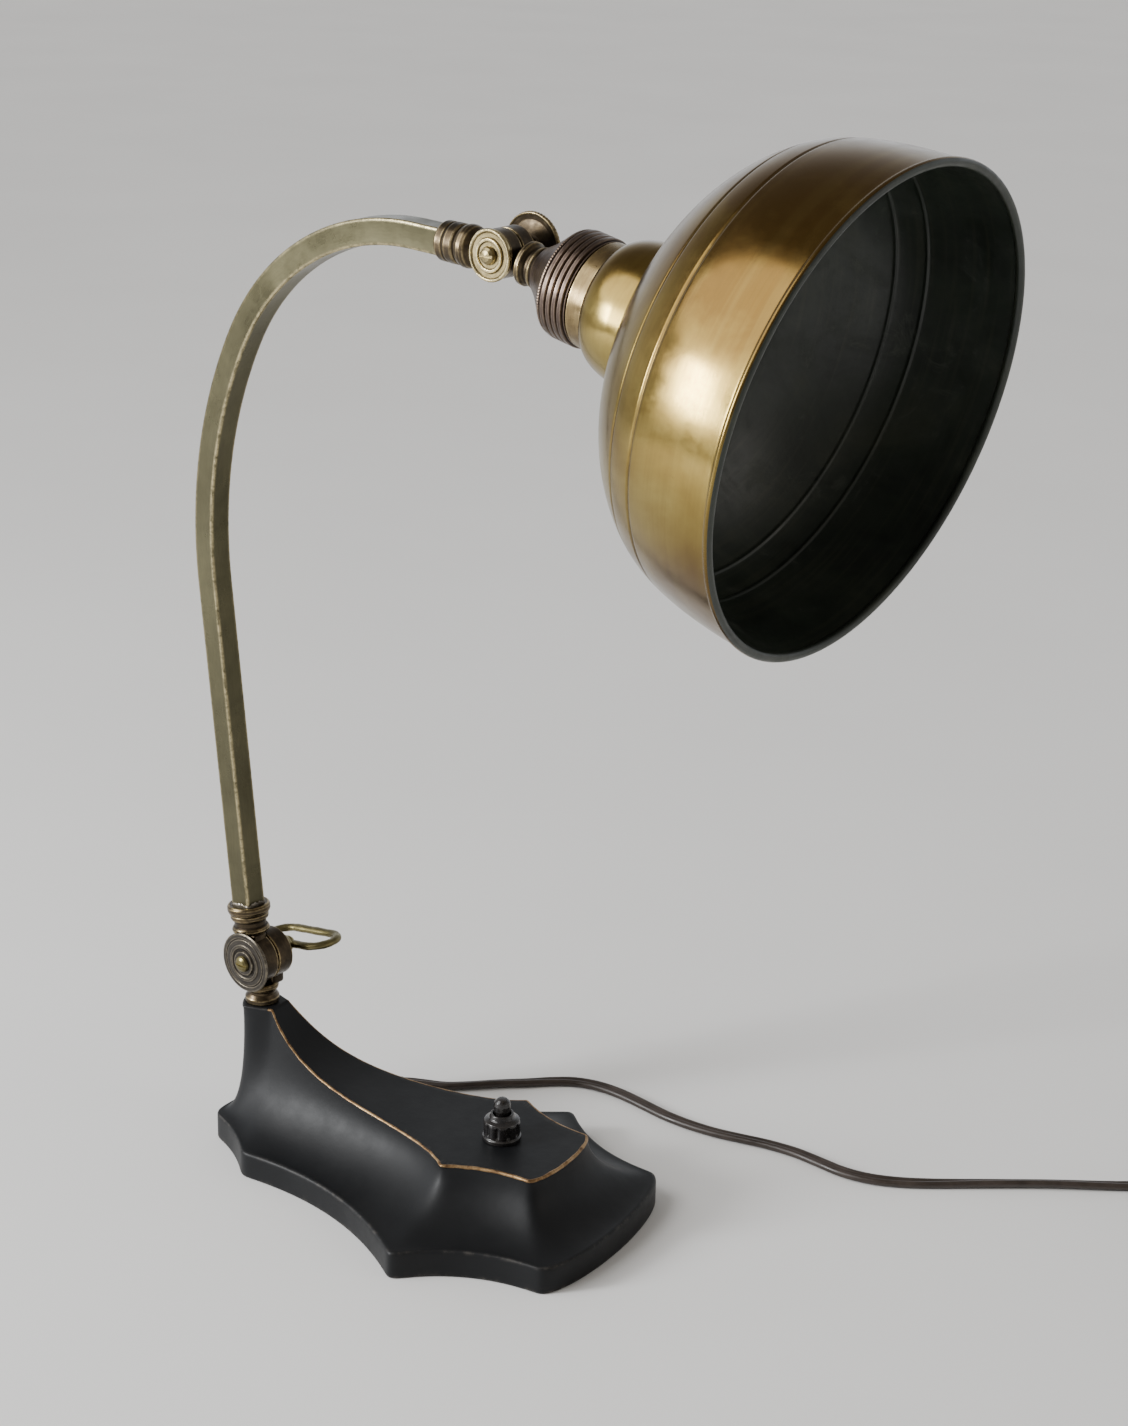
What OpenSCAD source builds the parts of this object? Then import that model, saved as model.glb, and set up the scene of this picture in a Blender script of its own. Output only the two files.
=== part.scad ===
// Adjustable desk lamp: cast base, curved square brass arm with a clamped
// joint at each end, and a spun brass bowl shade.
// X runs along the base from the neck towards the nose, Z is up, and the
// origin is the middle of the base on the table.

/* [Base casting] */
// Overall length of the casting, rear edge to nose
base_l = 190; // [188:1:194]
// Half width of the casting across the wing tips
wing_half = 68; // [66:1:71]
// Height of the outer rim
rim_h = 11.6; // [11:0.1:13]
// Height of the flat top that carries the switch
top_h = 33; // [32:0.5:35]
// Height of the neck that carries the arm
neck_h = 60; // [58:0.5:62]
// Thickness of the bottom plate
plate_t = 1.2; // [1:0.1:1.5]
// Thickness of the felt under the plate
felt_t = 1; // [0.8:0.1:1.2]

/* [Arm] */
// Side of the square arm tube
tube_w = 10; // [9.5:0.1:10.5]
// Wall of the square arm tube
tube_wall = 1; // [0.8:0.1:1.5]
// Angle of the arm's plane about the neck
arm_yaw = -6.8; // [-12:0.1:0]
// Sideways offset of the tube towards the disc side
arm_offset = -2.2; // [-2.6:0.1:-1.8]
// Backward lean of the straight stretch
arm_lean = 6.2; // [5:0.1:7]
// Length of the straight stretch
arm_straight = 144.5; // [140:0.5:150]
// Radius of the long lower bend
bend1_r = 177.5; // [170:0.5:185]
// Angle of the long lower bend
bend1_a = 34.5; // [32:0.1:36]
// Radius of the tight upper bend
bend2_r = 97; // [94:0.5:100]
// Angle of the tight upper bend
bend2_a = 64.2; // [62:0.1:66]

/* [Joints] */
// Height of the lower pivot above the table
low_pivot_z = 80.6; // [80:0.1:82]
// Radius of the lower joint's barrel
low_r = 10.5; // [10:0.1:11]
// Radius of the lower joint's face disc
low_disc_r = 13; // [12:0.1:14]
// Radius of the upper joint's barrel
up_r = 8.8; // [8.4:0.1:9]
// Radius of the upper joint's face disc
up_disc_r = 9.35; // [9:0.05:10]
// Tilt of the shade's axis below the horizontal
head_tilt = 11.65; // [0:0.05:30]

/* [Shade] */
// Radius of the shade at its mouth
mouth_r = 84.8; // [82:0.1:88]
// Distance from the upper pivot to the plane of the mouth
mouth_h = 157; // [154:0.5:160]
// Thickness of the spun brass
shade_t = 0.9; // [0.7:0.1:1]
// Radius of the wire rolled into the lip
lip_r = 1.6; // [1.4:0.1:1.8]

/* [Cord] */
// Width of the flat twin cord
cord_w = 5.2; // [5:0.1:5.6]
// Thickness of the flat twin cord
cord_t = 3; // [2.8:0.1:3.2]
// Radius at the middle of the coil's turns
coil_r = 28.8; // [28.6:0.1:29]

/* [Hidden] */
$fn = 72;

// Small lengths used all over
eps = 0.5;
gap = 0.05;

// Base casting, in the row's own X and Y
rear_x = -base_l / 2;
nose_x = base_l / 2;
neck_x = rear_x + 11.7;
corner_f = [rear_x, 19.8];
corner_e = [rear_x + 30.5, 39.8];
corner_a = [rear_x + 126, wing_half];
corner_b = [nose_x - 11, 43.6];
neck_rear = [neck_x - 3, 9.5];
neck_front = [neck_x + 9.5, 5.8];
ridge_a = [neck_x + 113.6, 32.2];
ridge_b = [neck_x + 148, 22];
ridge_nose = neck_x + 154;
ridge_pull1 = [neck_x + 25, 14];
ridge_pull2 = [neck_x + 95, 14];
ridge_decay = 21;
cove_steps = 9;
cove_p_neck = 0.52;
cove_p_front = 0.62;
// Steps round half the outline: rear, rear flank, long side, front scallop, nose
half_steps = [2, 5, 14, 7, 6];

// Hollow underside
chamber_h = 8;
chamber_in = 0.2;
upper_roof = 28;
plate_z = felt_t;
plate_top = felt_t + plate_t;
boss_r = 4.5;
screw_r = 1.5;
screw_spots = [[neck_x + 60, 0], [neck_x + 104, 44], [neck_x + 104, -44]];
bore_r = 4.1;
nut_roof = 20;

// Switch
switch_x = neck_x + 121.8;
switch_r = 9.5;
thread_r = 5;
switch_seat = top_h + 0.2;
shank_r = 2.6;
spring_z = 12;
spring_l = 10;

// Cord bushing
bushing_x = neck_x + 22;
bushing_y = 38.3;
bushing_z = 5.6;
bushing_r = 3.3;
flange_r = 4.8;
flange_y = 0.6;

// Insulated wires inside
lead_d = 2.1;

// Joints, in the arm's frame
half_l = 8.6;
half_u = 7;
face = 0.4;
pin_l = 2.5;
pin_u = 2.1;

// Arm: a straight, the two bends and a short straight end
arm_start = [-4.2, 98];
end_straight = 14;
bend1_steps = 18;
bend2_steps = 32;
head1 = bend1_a - arm_lean;
head2 = head1 + bend2_a;
bend1_start = arm_start + arm_straight * [-sin(arm_lean), cos(arm_lean)];
bend1_end = bend1_start + bend1_r * [cos(arm_lean) - cos(head1), sin(arm_lean) + sin(head1)];
bend2_end = bend1_end + bend2_r * [cos(head1) - cos(head2), sin(head2) - sin(head1)];
pivot_reach = 37.7;
up_pivot = bend2_end + pivot_reach * [sin(head2), cos(head2)];

// Socket, along the shade's axis from the upper pivot
cap_start = 19;
cap_end = 43.5;
cap_r = 19.9;
shell_r = 19;
shell_end = 64;
liner_end = 63;
insulator_end = 45.5;
screw_shell_r = 13.1;
screw_shell_start = 48.6;
screw_shell_end = 70.6;
shade_start = 51.5;
collar_r = 25.8;

// Cord: hand-picked route over the table, then the coil beside it
coil_c = [308, 168];
layer_turns = 3.7;
turn_pitch = 3.1;
coil_spread = layer_turns * turn_pitch / 2;
route = [[bushing_x, 42, 5.6], [bushing_x, 46, 5.5], [-60.5, 52, 3.6], [-58, 58, 1.7], [-52.5, 62.5, 1.5],
         [-45, 65.5, 1.5], [-36, 69, 1.5], [-27, 76, 1.5], [-18, 84, 1.5], [-8, 92, 1.5],
         [0, 99, 1.5], [9, 104.5, 1.5], [20, 107, 1.5], [32, 106.5, 1.5], [45, 104, 1.5],
         [57, 101.5, 1.5], [69, 100.5, 1.5], [82, 101, 1.5], [94, 103, 1.5],
         [106, 105, 1.5], [119, 105.5, 1.5], [131, 104, 1.5], [143, 102.5, 1.5],
         [155, 104, 1.5], [167, 109, 1.5], [179, 116.5, 1.5], [191, 124.5, 1.5],
         [203, 132.5, 1.5], [215, 140.5, 1.5], [227, 148, 1.5], [240, 156, 1.6],
         [253, 164.5, 1.8], [265.5, 174.2, 2.2], [276, 184.4, 2.6], [282.6, 191.3, 2.6]];
tail = [[342.3, 164.1, 7.2], [342.2, 153, 4.6], [341.4, 142, 3.2], [340, 131.5, 4.6],
        [338.8, 121, 6.8]];
plug_at = [338.6, 120];
plug_z = 7;
plug_l = 30;

function lerp(a, b, t) = a + (b - a) * t;
function unit(v) = v / norm(v);
// Points from a towards b, bowed sideways by sag, without b itself
function bowed(a, b, sag, n) = let (d = unit(b - a), side = [-d[1], d[0]])
    [for (i = [0:n - 1]) let (t = i / n) lerp(a, b, t) + side * sag * 4 * t * (1 - t)];
function bezier(a, b, c, d, t) = a * pow(1 - t, 3) + 3 * b * t * pow(1 - t, 2)
    + 3 * c * t * t * (1 - t) + d * pow(t, 3);
function bezier_dir(a, b, c, d, t) = unit((b - a) * pow(1 - t, 2)
    + 2 * (c - b) * t * (1 - t) + (d - c) * t * t);
function curve(a, b, c, d, n) = [for (i = [0:n - 1]) bezier(a, b, c, d, i / n)];

// Half of the casting's foot outline and of the painted ridge, rear to nose
outline_half = concat(bowed([rear_x + 1.8, 0], corner_f, 0.6, half_steps[0]),
                      bowed(corner_f, corner_e, -2.4, half_steps[1]),
                      bowed(corner_e, corner_a, -9.8, half_steps[2]),
                      bowed(corner_a, corner_b, -6.3, half_steps[3]),
                      [for (i = [0:half_steps[4]]) let (a = 90 * i / half_steps[4])
                           [corner_b[0] + (nose_x - corner_b[0]) * sin(a) ,
                            corner_b[1] * cos(a)]]);
ridge_half = concat(bowed([neck_x - 8.5, 0], neck_rear, 0.8, half_steps[0]),
                    bowed(neck_rear, neck_front, 0.3, half_steps[1]),
                    curve(neck_front, ridge_pull1, ridge_pull2, ridge_a, half_steps[2]),
                    bowed(ridge_a, ridge_b, -2.8, half_steps[3]),
                    [for (i = [0:half_steps[4]]) let (a = 90 * i / half_steps[4])
                         [ridge_b[0] + (ridge_nose - ridge_b[0]) * sin(a),
                          ridge_b[1] * cos(a)]]);
half_n = len(outline_half) - 1;
ring_n = 2 * half_n;
function mirrored(half) = concat(half, [for (i = [half_n - 1:-1:1]) [half[i][0], -half[i][1]]]);
outline = mirrored(outline_half);
ridge = mirrored(ridge_half);

function ridge_z(x) = x <= neck_front[0] ? neck_h
    : top_h + (neck_h - top_h) * exp(-(x - neck_front[0]) / ridge_decay);
// One ring of the casting: a share of the way in from outline to ridge
function plan_ring(share) = [for (i = [0:ring_n - 1]) lerp(outline[i], ridge[i], share)];
function flat_ring(share, z) = [for (p = plan_ring(share)) [p[0], p[1], z]];
// Cove from the rim up to the ridge, a quarter of a superellipse
cove_foot = 0.08;
function cove_ring(a) = [for (i = [0:ring_n - 1])
    let (zr = ridge_z(ridge[i][0]),
         p = lerp(cove_p_front, cove_p_neck, (zr - top_h) / (neck_h - top_h)),
         out = pow(cos(a), 2 / p),
         up = pow(sin(a), 2 / p),
         q = lerp(outline[i], ridge[i], 1 - (1 - cove_foot) * out))
    [q[0], q[1], rim_h + (zr - rim_h) * up]];
casting_rings = concat([flat_ring(0, 0), flat_ring(0, rim_h - 2.6),
                        flat_ring(0.015, rim_h - 1.1), flat_ring(0.042, rim_h - 0.25),
                        flat_ring(cove_foot, rim_h)],
                       [for (i = [1:cove_steps]) cove_ring(90 * i / cove_steps)]);

// Faces between rings, as triangles, then the two caps as strips across
function side_faces(rings, n) = [for (k = [0:rings - 2], i = [0:n - 1])
    let (a = k * n + i, b = k * n + (i + 1) % n)
    each [[a, b, b + n], [a, b + n, a + n]]];
function strip(first, n, up) = [for (i = [0:n / 2 - 1])
    let (a = first + i, b = first + i + 1,
         c = first + (n - i - 1) % n, d = first + (n - i) % n,
         quad = [[a, b, c], [a, c, d]])
    each [for (t = quad) if (t[0] != t[1] && t[1] != t[2] && t[0] != t[2])
              up ? t : [t[2], t[1], t[0]]]];

module at_arm() {
    translate([neck_x, 0, 0])
        rotate([0, 0, arm_yaw])
            children();
}

module at_tube() {
    at_arm()
        translate([arm_start[0], arm_offset, arm_start[1]])
            rotate([0, -arm_lean, 0])
                children();
}

module at_low_pivot() {
    at_arm()
        translate([0, 0, low_pivot_z])
            children();
}

module at_up_pivot() {
    at_arm()
        translate([up_pivot[0], 0, up_pivot[1]])
            children();
}

// The end of the arm's upper bend, with Z along the tube
module at_tube_end() {
    at_arm()
        translate([bend2_end[0], arm_offset, bend2_end[1]])
            rotate([0, head2, 0])
                children();
}

// The shade's axis as Z, starting at the upper pivot
module at_head() {
    at_up_pivot()
        rotate([0, 90 + head_tilt, 0])
            children();
}

// Z turned towards the side with the face discs, or away from it
module near_side() {
    rotate([90, 0, 0])
        children();
}

module far_side() {
    rotate([-90, 0, 0])
        children();
}

module disc(r, z0, z1) {
    translate([0, 0, z0])
        cylinder(r = r, h = z1 - z0);
}

module tube(r_out, r_in, z0, z1) {
    difference() {
        disc(r_out, z0, z1);
        disc(r_in, z0 - eps, z1 + eps);
    }
}

module turned(points) {
    rotate_extrude()
        polygon(points);
}

// A straight slot cut across a screw head whose top is at z
module slot(width, deep, z) {
    translate([-20, -width / 2, z - deep])
        cube([40, width, deep + eps]);
}

// Sweep of an oval section along points, its width square to the across vector
sweep_sides = 8;
function heading(p, i) = unit(p[min(i + 1, len(p) - 1)] - p[max(i - 1, 0)]);
function section(p, i, width, thick, across) =
    let (t = heading(p, i), side = unit(cross(t, across)), up = cross(side, t))
    [for (j = [0:sweep_sides - 1]) let (a = 360 * (j + 0.5) / sweep_sides)
        p[i] + side * width / 2 * cos(a) + up * thick / 2 * sin(a)];

module swept(p, width, thick, across) {
    last = (len(p) - 1) * sweep_sides;
    polyhedron(points = [for (i = [0:len(p) - 1]) each section(p, i, width, thick, across)],
               faces = concat([for (k = [0:len(p) - 2], j = [0:sweep_sides - 1])
                   let (a = k * sweep_sides + j, b = k * sweep_sides + (j + 1) % sweep_sides)
                   each [[a, b, b + sweep_sides], [a, b + sweep_sides, a + sweep_sides]]],
                   [[for (j = [sweep_sides - 1:-1:0]) j]],
                   [[for (j = [0:sweep_sides - 1]) last + j]]));
}

module casting_solid() {
    polyhedron(points = [for (r = casting_rings) each r],
               faces = concat(side_faces(len(casting_rings), ring_n),
                              strip(0, ring_n, false),
                              strip((len(casting_rings) - 1) * ring_n, ring_n, true)));
}

module upper_chamber() {
    side = [[neck_x + 33, 7.5], [neck_x + 60, 11], [neck_x + 92, 16], [neck_x + 106, 22],
            [neck_x + 115, 26], [neck_x + 143, 18.5], [neck_x + 149, 8]];
    translate([0, 0, -eps])
        linear_extrude(upper_roof + eps)
            polygon(concat(side, [for (i = [len(side) - 1:-1:0]) [side[i][0], -side[i][1]]]));
}

module lower_chamber() {
    translate([0, 0, -eps])
        linear_extrude(chamber_h + eps)
            polygon(plan_ring(chamber_in));
}

module base_casting() {
    color("#1b1d20")
        difference() {
            casting_solid();
            difference() {
                union() {
                    lower_chamber();
                    upper_chamber();
                    translate([neck_x, 0, 0])
                        disc(6.9, -eps, nut_roof);
                    translate([neck_x, -6, -eps])
                        cube([36, 12, 18 + eps]);
                }
                for (p = screw_spots)
                    translate(p)
                        disc(boss_r, plate_top, upper_roof + 1);
            }
            translate([neck_x, 0, 0])
                disc(bore_r, -eps, neck_h + eps);
            translate([switch_x, 0, 0])
                disc(thread_r + gap, upper_roof - 1, top_h + 2);
            for (p = screw_spots)
                translate(p)
                    disc(screw_r, -eps, 11);
            translate([bushing_x, bushing_y, bushing_z])
                far_side() {
                    disc(bushing_r + gap, -14, 6);
                    disc(flange_r + gap, flange_y - gap, 6);
                }
        }
}

module plate_shape(shrink) {
    linear_extrude(1)
        polygon(plan_ring(chamber_in + shrink));
}

module bottom_plate() {
    color("#33363a")
        difference() {
            translate([0, 0, plate_z])
                scale([1, 1, plate_t])
                    plate_shape(0.012);
            for (p = screw_spots)
                translate(p)
                    disc(screw_r + 0.1, 0, 5);
        }
}

module felt_pad() {
    color("#2f4a37")
        difference() {
            scale([1, 1, felt_t])
                plate_shape(0.02);
            for (p = screw_spots)
                translate(p)
                    disc(3.4, -eps, 5);
        }
}

module plate_screws() {
    color("#8d8f92")
        for (p = screw_spots)
            translate([p[0], p[1], plate_z])
                mirror([0, 0, 1])
                    difference() {
                        union() {
                            disc(2.9, 0, 0.85);
                            disc(screw_r - gap, -8, 0.4);
                        }
                        slot(0.7, 0.4, 0.85);
                    }
}

module cord_bushing() {
    color("#17171a")
        translate([bushing_x, bushing_y, bushing_z])
            far_side()
                difference() {
                    union() {
                        disc(bushing_r, -8, 1);
                        disc(flange_r, flange_y, 2.4);
                        turned([[0, 2], [4.1, 2], [3.2, 5.7], [0, 5.7]]);
                    }
                    disc(cord_w / 2, -9, 7);
                }
}

module switch_body() {
    color("#141416")
        translate([switch_x, 0, 0])
            difference() {
                union() {
                    disc(switch_r, 9, upper_roof - gap);
                    disc(thread_r, 20, 40);
                }
                disc(3.8, 11, 26);
                disc(shank_r + 0.1, 20, 50);
            }
}

module switch_terminals() {
    color("#b89a55")
        translate([switch_x, 0, 13])
            for (side = [90, -90])
                rotate([0, 90, side])
                    difference() {
                        union() {
                            disc(2.6, switch_r - 0.4, switch_r + 1.2);
                            disc(1.4, switch_r - 3, switch_r);
                        }
                        slot(0.7, 0.7, switch_r + 1.2);
                    }
}

module switch_nut() {
    flutes = 12;
    color("#121214")
        translate([switch_x, 0, switch_seat])
            difference() {
                turned([[0, 0], [7.7, 0], [7.9, 0.4], [7.9, 1.5], [7.5, 2], [7.5, 7.6],
                        [7, 8.8], [5.4, 9.6], [4.6, 11.4], [0, 11.4]]);
                disc(thread_r + gap, -eps, 7.6);
                disc(3.75, 7, 12);
                for (i = [0:flutes - 1])
                    rotate([0, 0, 360 * i / flutes])
                        translate([8.3, 0, 2.4])
                            cylinder(r = 1.1, h = 10, $fn = 24);
            }
}

// Coil spring as a swept polyhedron: turns of round wire
module switch_spring() {
    turns = 5;
    per_turn = 12;
    sides = 6;
    wire_r = 0.35;
    mean_r = 3;
    steps = turns * per_turn;
    rings = [for (k = [0:steps]) let (a = 360 * k / per_turn, z = wire_r
                 + (spring_l - 2 * wire_r) * k / steps)
             each [for (j = [0:sides - 1]) let (b = 360 * j / sides)
                 [(mean_r + wire_r * cos(b)) * cos(a), (mean_r + wire_r * cos(b)) * sin(a),
                  z + wire_r * sin(b)]]];
    ends = [[for (j = [0:sides - 1]) j], [for (j = [sides - 1:-1:0]) steps * sides + j]];
    color("#a9a9ad")
        translate([switch_x, 0, spring_z])
            polyhedron(points = rings,
                       faces = concat([for (k = [0:steps - 1], j = [0:sides - 1])
                           let (a = k * sides + j, b = k * sides + (j + 1) % sides)
                           each [[a, a + sides, b + sides], [a, b + sides, b]]], ends));
}

module switch_button() {
    color("#101012")
        translate([switch_x, 0, 0]) {
            disc(shank_r, spring_z + spring_l, 46);
            disc(3.5, spring_z + spring_l, 23.6);
            turned([[0, 44.8], [3, 44.8], [3.4, 46], [3.4, 48.4], [3.1, 49.8], [2.2, 50.7],
                    [0, 51]]);
        }
}

module base_leads() {
    slanted = [1, 0.6, 0.4];
    color("#5b3b2a")
        for (side = [1, -1]) {
            swept([[bushing_x + side * 1.3, bushing_y - 6, 5.4], [bushing_x + side * 1.3, 24, 5.2],
                   [bushing_x + 8, 15 + side * 1.5, 5.2], [bushing_x + 30, 9 + side * 2, 5.2],
                   [neck_x + 68, 8 + side * 1.5, 5.4], [switch_x - 24, side * 7, 6],
                   [switch_x - 12, side * 12, 7], [switch_x - 3, side * 13.2, 9]],
                  lead_d, lead_d, slanted);
            swept([[neck_x, side * 1.15, 62], [neck_x, side * 1.15, 12.4],
                   [neck_x + 3, side * 1.3, 9.8], [neck_x + 40, side * 3, 11],
                   [neck_x + 54, side * 7, 12], [neck_x + 68, side * 7, 12],
                   [switch_x - 11, side * 4, 13]], lead_d, lead_d, slanted);
        }
}

module lower_foot() {
    color("#4a4238")
        at_arm()
            difference() {
                union() {
                    disc(bore_r - gap, 13, neck_h + 1);
                    turned([[0, neck_h], [6.9, neck_h], [7.2, 60.6], [7.2, 62.4], [6.6, 63.2],
                            [6.1, 64.2], [6.1, 65.6], [6.8, 66.2], [7.1, 67.2], [6.8, 68.3],
                            [6.2, 68.9], [0, 68.9]]);
                    translate([-5.8, face, 65])
                        cube([11.6, half_l - face - 1, 12]);
                    translate([0, 0, low_pivot_z])
                        far_side()
                            turned([[0, face], [low_r, face], [low_r, half_l - 0.6],
                                    [low_r - 0.6, half_l], [0, half_l]]);
                }
                disc(2.5, 10, 67.5);
                translate([0, 0, low_pivot_z])
                    far_side()
                        disc(pin_l, -1, 20);
            }
}

module foot_washer() {
    color("#8d8f92")
        translate([neck_x, 0, 0])
            tube(6.4, bore_r + gap, nut_roof - 0.9, nut_roof);
}

module foot_nut() {
    color("#7d7565")
        translate([neck_x, 0, nut_roof - 4.9])
            difference() {
                tube(6.3, bore_r - gap, 0, 4);
                translate([-8, -0.8, -eps])
                    cube([16, 1.6, 1.5]);
            }
}

module lower_pivot_screw() {
    color("#8a7a3c")
        at_low_pivot()
            near_side()
                difference() {
                    union() {
                        turned([[0, 10.9], [3.5, 10.9], [3.5, 11.5], [3.1, 12.2], [2.1, 12.8],
                                [0, 13.1]]);
                        disc(pin_l, -14, 11);
                    }
                    slot(0.8, 1, 13.1);
                }
}

module lower_disc() {
    color("#54504a")
        at_low_pivot()
            near_side()
                turned([[pin_l + gap, half_l + gap], [low_disc_r - 0.5, half_l + gap],
                        [low_disc_r, 9.1], [low_disc_r, 9.6], [low_disc_r - 0.5, 9.9],
                        [8, 10.2], [7.7, 10.6], [6.8, 10.6], [6.4, 10.2], [5.4, 10.2],
                        [5.1, 10.9], [pin_l + gap, 10.9]]);
}

module lower_friction_washer() {
    color("#6b5a3a")
        at_low_pivot()
            far_side()
                tube(low_r - 0.8, pin_l + 0.3, -face + gap, face);
}

module lower_arm_half() {
    color("#6d5a34") {
        difference() {
            union() {
                at_low_pivot()
                    near_side()
                        turned([[0, face], [low_r, face], [low_r, half_l - 0.6],
                                [low_r - 0.6, half_l], [0, half_l]]);
                at_tube()
                    translate([0, 0, -6])
                        turned([[0, -0.6], [6.6, -0.6], [7.5, 0.2], [7.9, 1.2], [7.5, 2.2],
                                [6.7, 2.9], [6.7, 5.2], [7.7, 5.8], [8, 6.4], [8, 7.8],
                                [7.7, 8.2], [8.6, 8.8], [9, 9.8], [9, 11.4], [8.4, 12.3],
                                [0, 12.3]]);
                at_arm()
                    translate([-7, -half_l + 1, 84])
                        cube([11, half_l - 1 - face, 9]);
            }
            at_tube()
                translate([-tube_w / 2, -tube_w / 2, 0])
                    cube([tube_w, tube_w, 20]);
            at_tube()
                disc(3, -3, 1);
            at_low_pivot()
                far_side() {
                    disc(low_r + 0.35, -face, 20);
                    disc(low_disc_r + 0.35, -20, -half_l);
                    disc(pin_l + gap, -20, 20);
                }
        }
    }
}

// Oval of round wire with its near long side on the hub
module lower_loop_key() {
    wire_r = 1.75;
    long_half = 10;
    bend_r = 8;
    hub_end = 14.6;
    mid_y = hub_end + wire_r - 0.6 + bend_r;
    color("#8a7d4a")
        at_low_pivot() {
            far_side()
                difference() {
                    turned([[0, half_l + gap], [6.4, half_l + gap], [6.4, 10.6], [5.2, 11.4],
                            [4.6, 13], [4, hub_end], [0, hub_end + 0.4]]);
                    disc(pin_l + gap, 0, 14.1);
                }
            rotate([0, -10, 0])
                translate([0, mid_y, 0]) {
                    for (side = [-1, 1])
                        translate([-long_half, side * bend_r, 0])
                            rotate([0, 90, 0])
                                cylinder(r = wire_r, h = 2 * long_half);
                    for (side = [0, 180])
                        rotate([0, 0, side])
                            translate([long_half, 0, 0])
                                rotate([0, 0, -90])
                                    rotate_extrude(angle = 180)
                                        translate([bend_r, 0])
                                            circle(r = wire_r);
                }
        }
}

// Points along the arm's centreline as [across, up, heading], running on by over
// past both ends
function arm_line(over) =
    let (turn = bend1_a + bend2_a,
         tip1 = [bend1_r * (1 - cos(bend1_a)), arm_straight + bend1_r * sin(bend1_a)],
         tip2 = tip1 + bend2_r * [cos(bend1_a) - cos(turn), sin(turn) - sin(bend1_a)],
         tip3 = tip2 + (end_straight + over) * [sin(turn), cos(turn)])
    concat([[0, -over, 0]],
           [for (i = [0:bend1_steps]) let (a = bend1_a * i / bend1_steps)
               [bend1_r * (1 - cos(a)), arm_straight + bend1_r * sin(a), a]],
           [for (i = [1:bend2_steps]) let (a = bend1_a + bend2_a * i / bend2_steps)
               [tip1[0] + bend2_r * (cos(bend1_a) - cos(a)),
                tip1[1] + bend2_r * (sin(a) - sin(bend1_a)), a]],
           [[tip3[0], tip3[1], turn]]);
function beside(s, d) = [s[0] + d * cos(s[2]), s[1] - d * sin(s[2])];

module arm_bar(side, over) {
    line = arm_line(over);
    rotate([90, 0, 0])
        linear_extrude(side, center = true)
            polygon(concat([for (s = line) beside(s, side / 2)],
                           [for (i = [len(line) - 1:-1:0]) beside(line[i], -side / 2)]));
}

module arm_tube() {
    color("#8c7a45")
        at_tube()
            difference() {
                arm_bar(tube_w - 2 * gap, 0);
                arm_bar(tube_w - 2 * tube_wall, 2);
            }
}

module upper_arm_half() {
    color("#4f4334")
        difference() {
            union() {
                at_up_pivot()
                    near_side()
                        turned([[0, face], [up_r, face], [up_r, half_u - 0.5],
                                [up_r - 0.5, half_u], [0, half_u]]);
                at_tube_end()
                    translate([0, 0, pivot_reach])
                        mirror([0, 0, 1])
                            turned([[0, 6], [5.4, 7.5], [5.6, 9.4], [6.4, 10.4], [7.4, 11.4],
                                    [7.8, 12.8], [7.8, 14.2], [7.3, 15.6], [6.6, 16.3],
                                    [7.2, 16.9], [7.4, 17.6], [7.4, 20.4], [7, 21.4],
                                    [7.3, 22], [7.3, 24.6], [6.9, 25.4], [0, 25.4]]);
            }
            at_tube_end()
                translate([-tube_w / 2, -tube_w / 2, -10])
                    cube([tube_w, tube_w, end_straight + 10]);
            at_tube_end()
                disc(2.6, 0, pivot_reach - 11);
            at_up_pivot()
                far_side() {
                    disc(up_r + 0.35, -face, 20);
                    disc(up_disc_r + gap, -20, -half_u);
                    disc(pin_u, -20, 20);
                }
        }
}

// Two insulated wires up the middle of the tube
module arm_leads() {
    bend_steps = 12;
    color("#5b3b2a")
        at_tube()
            for (side = [1, -1])
                swept(concat([for (i = [0:6]) [0, side * 1.5, lerp(3, arm_straight, i / 6)]],
                             [for (i = [1:bend_steps]) let (a = bend1_a * i / bend_steps)
                                 [bend1_r * (1 - cos(a)), side * 1.5,
                                  arm_straight + bend1_r * sin(a)]]),
                      lead_d, lead_d, [0, 1, 0]);
}

module upper_pivot_screw() {
    color("#b3985a")
        at_up_pivot()
            near_side()
                difference() {
                    union() {
                        turned([[0, 8.4], [3.3, 8.4], [3.3, 9], [2.9, 9.9], [1.9, 10.6],
                                [0, 10.9]]);
                        disc(pin_u, -11.8, 8.6);
                    }
                    slot(0.8, 0.9, 10.9);
                }
}

module upper_disc() {
    color("#a58f55")
        at_up_pivot()
            near_side()
                turned([[pin_u + gap, half_u], [up_disc_r - 0.4, half_u],
                        [up_disc_r, 7.4], [up_disc_r, 8.3], [up_disc_r - 0.4, 8.7],
                        [8.5, 8.7], [8, 8.1], [6.1, 8.1], [5.8, 8.9], [5, 8.9], [4.7, 8.4],
                        [pin_u + gap, 8.4]]);
}

module upper_friction_washer() {
    color("#6b5a3a")
        at_up_pivot()
            far_side()
                tube(up_r - 0.8, pin_u + 0.3, -face, face - gap);
}

module upper_thumb_wheel() {
    wheel_r = 12.5;
    color("#3d352e")
        at_up_pivot()
            far_side()
                difference() {
                    turned([[0, half_u + gap], [5.2, half_u + gap], [5.2, 8.4], [3.9, 9.4],
                            [3.9, 14.2], [9.6, 15], [11.4, 14.8], [12, 14.4],
                            [wheel_r, 15], [wheel_r, 15.8], [11.8, 16.4], [0, 16.8]]);
                    disc(pin_u + gap, 0, 12.2);
                }
}

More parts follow.
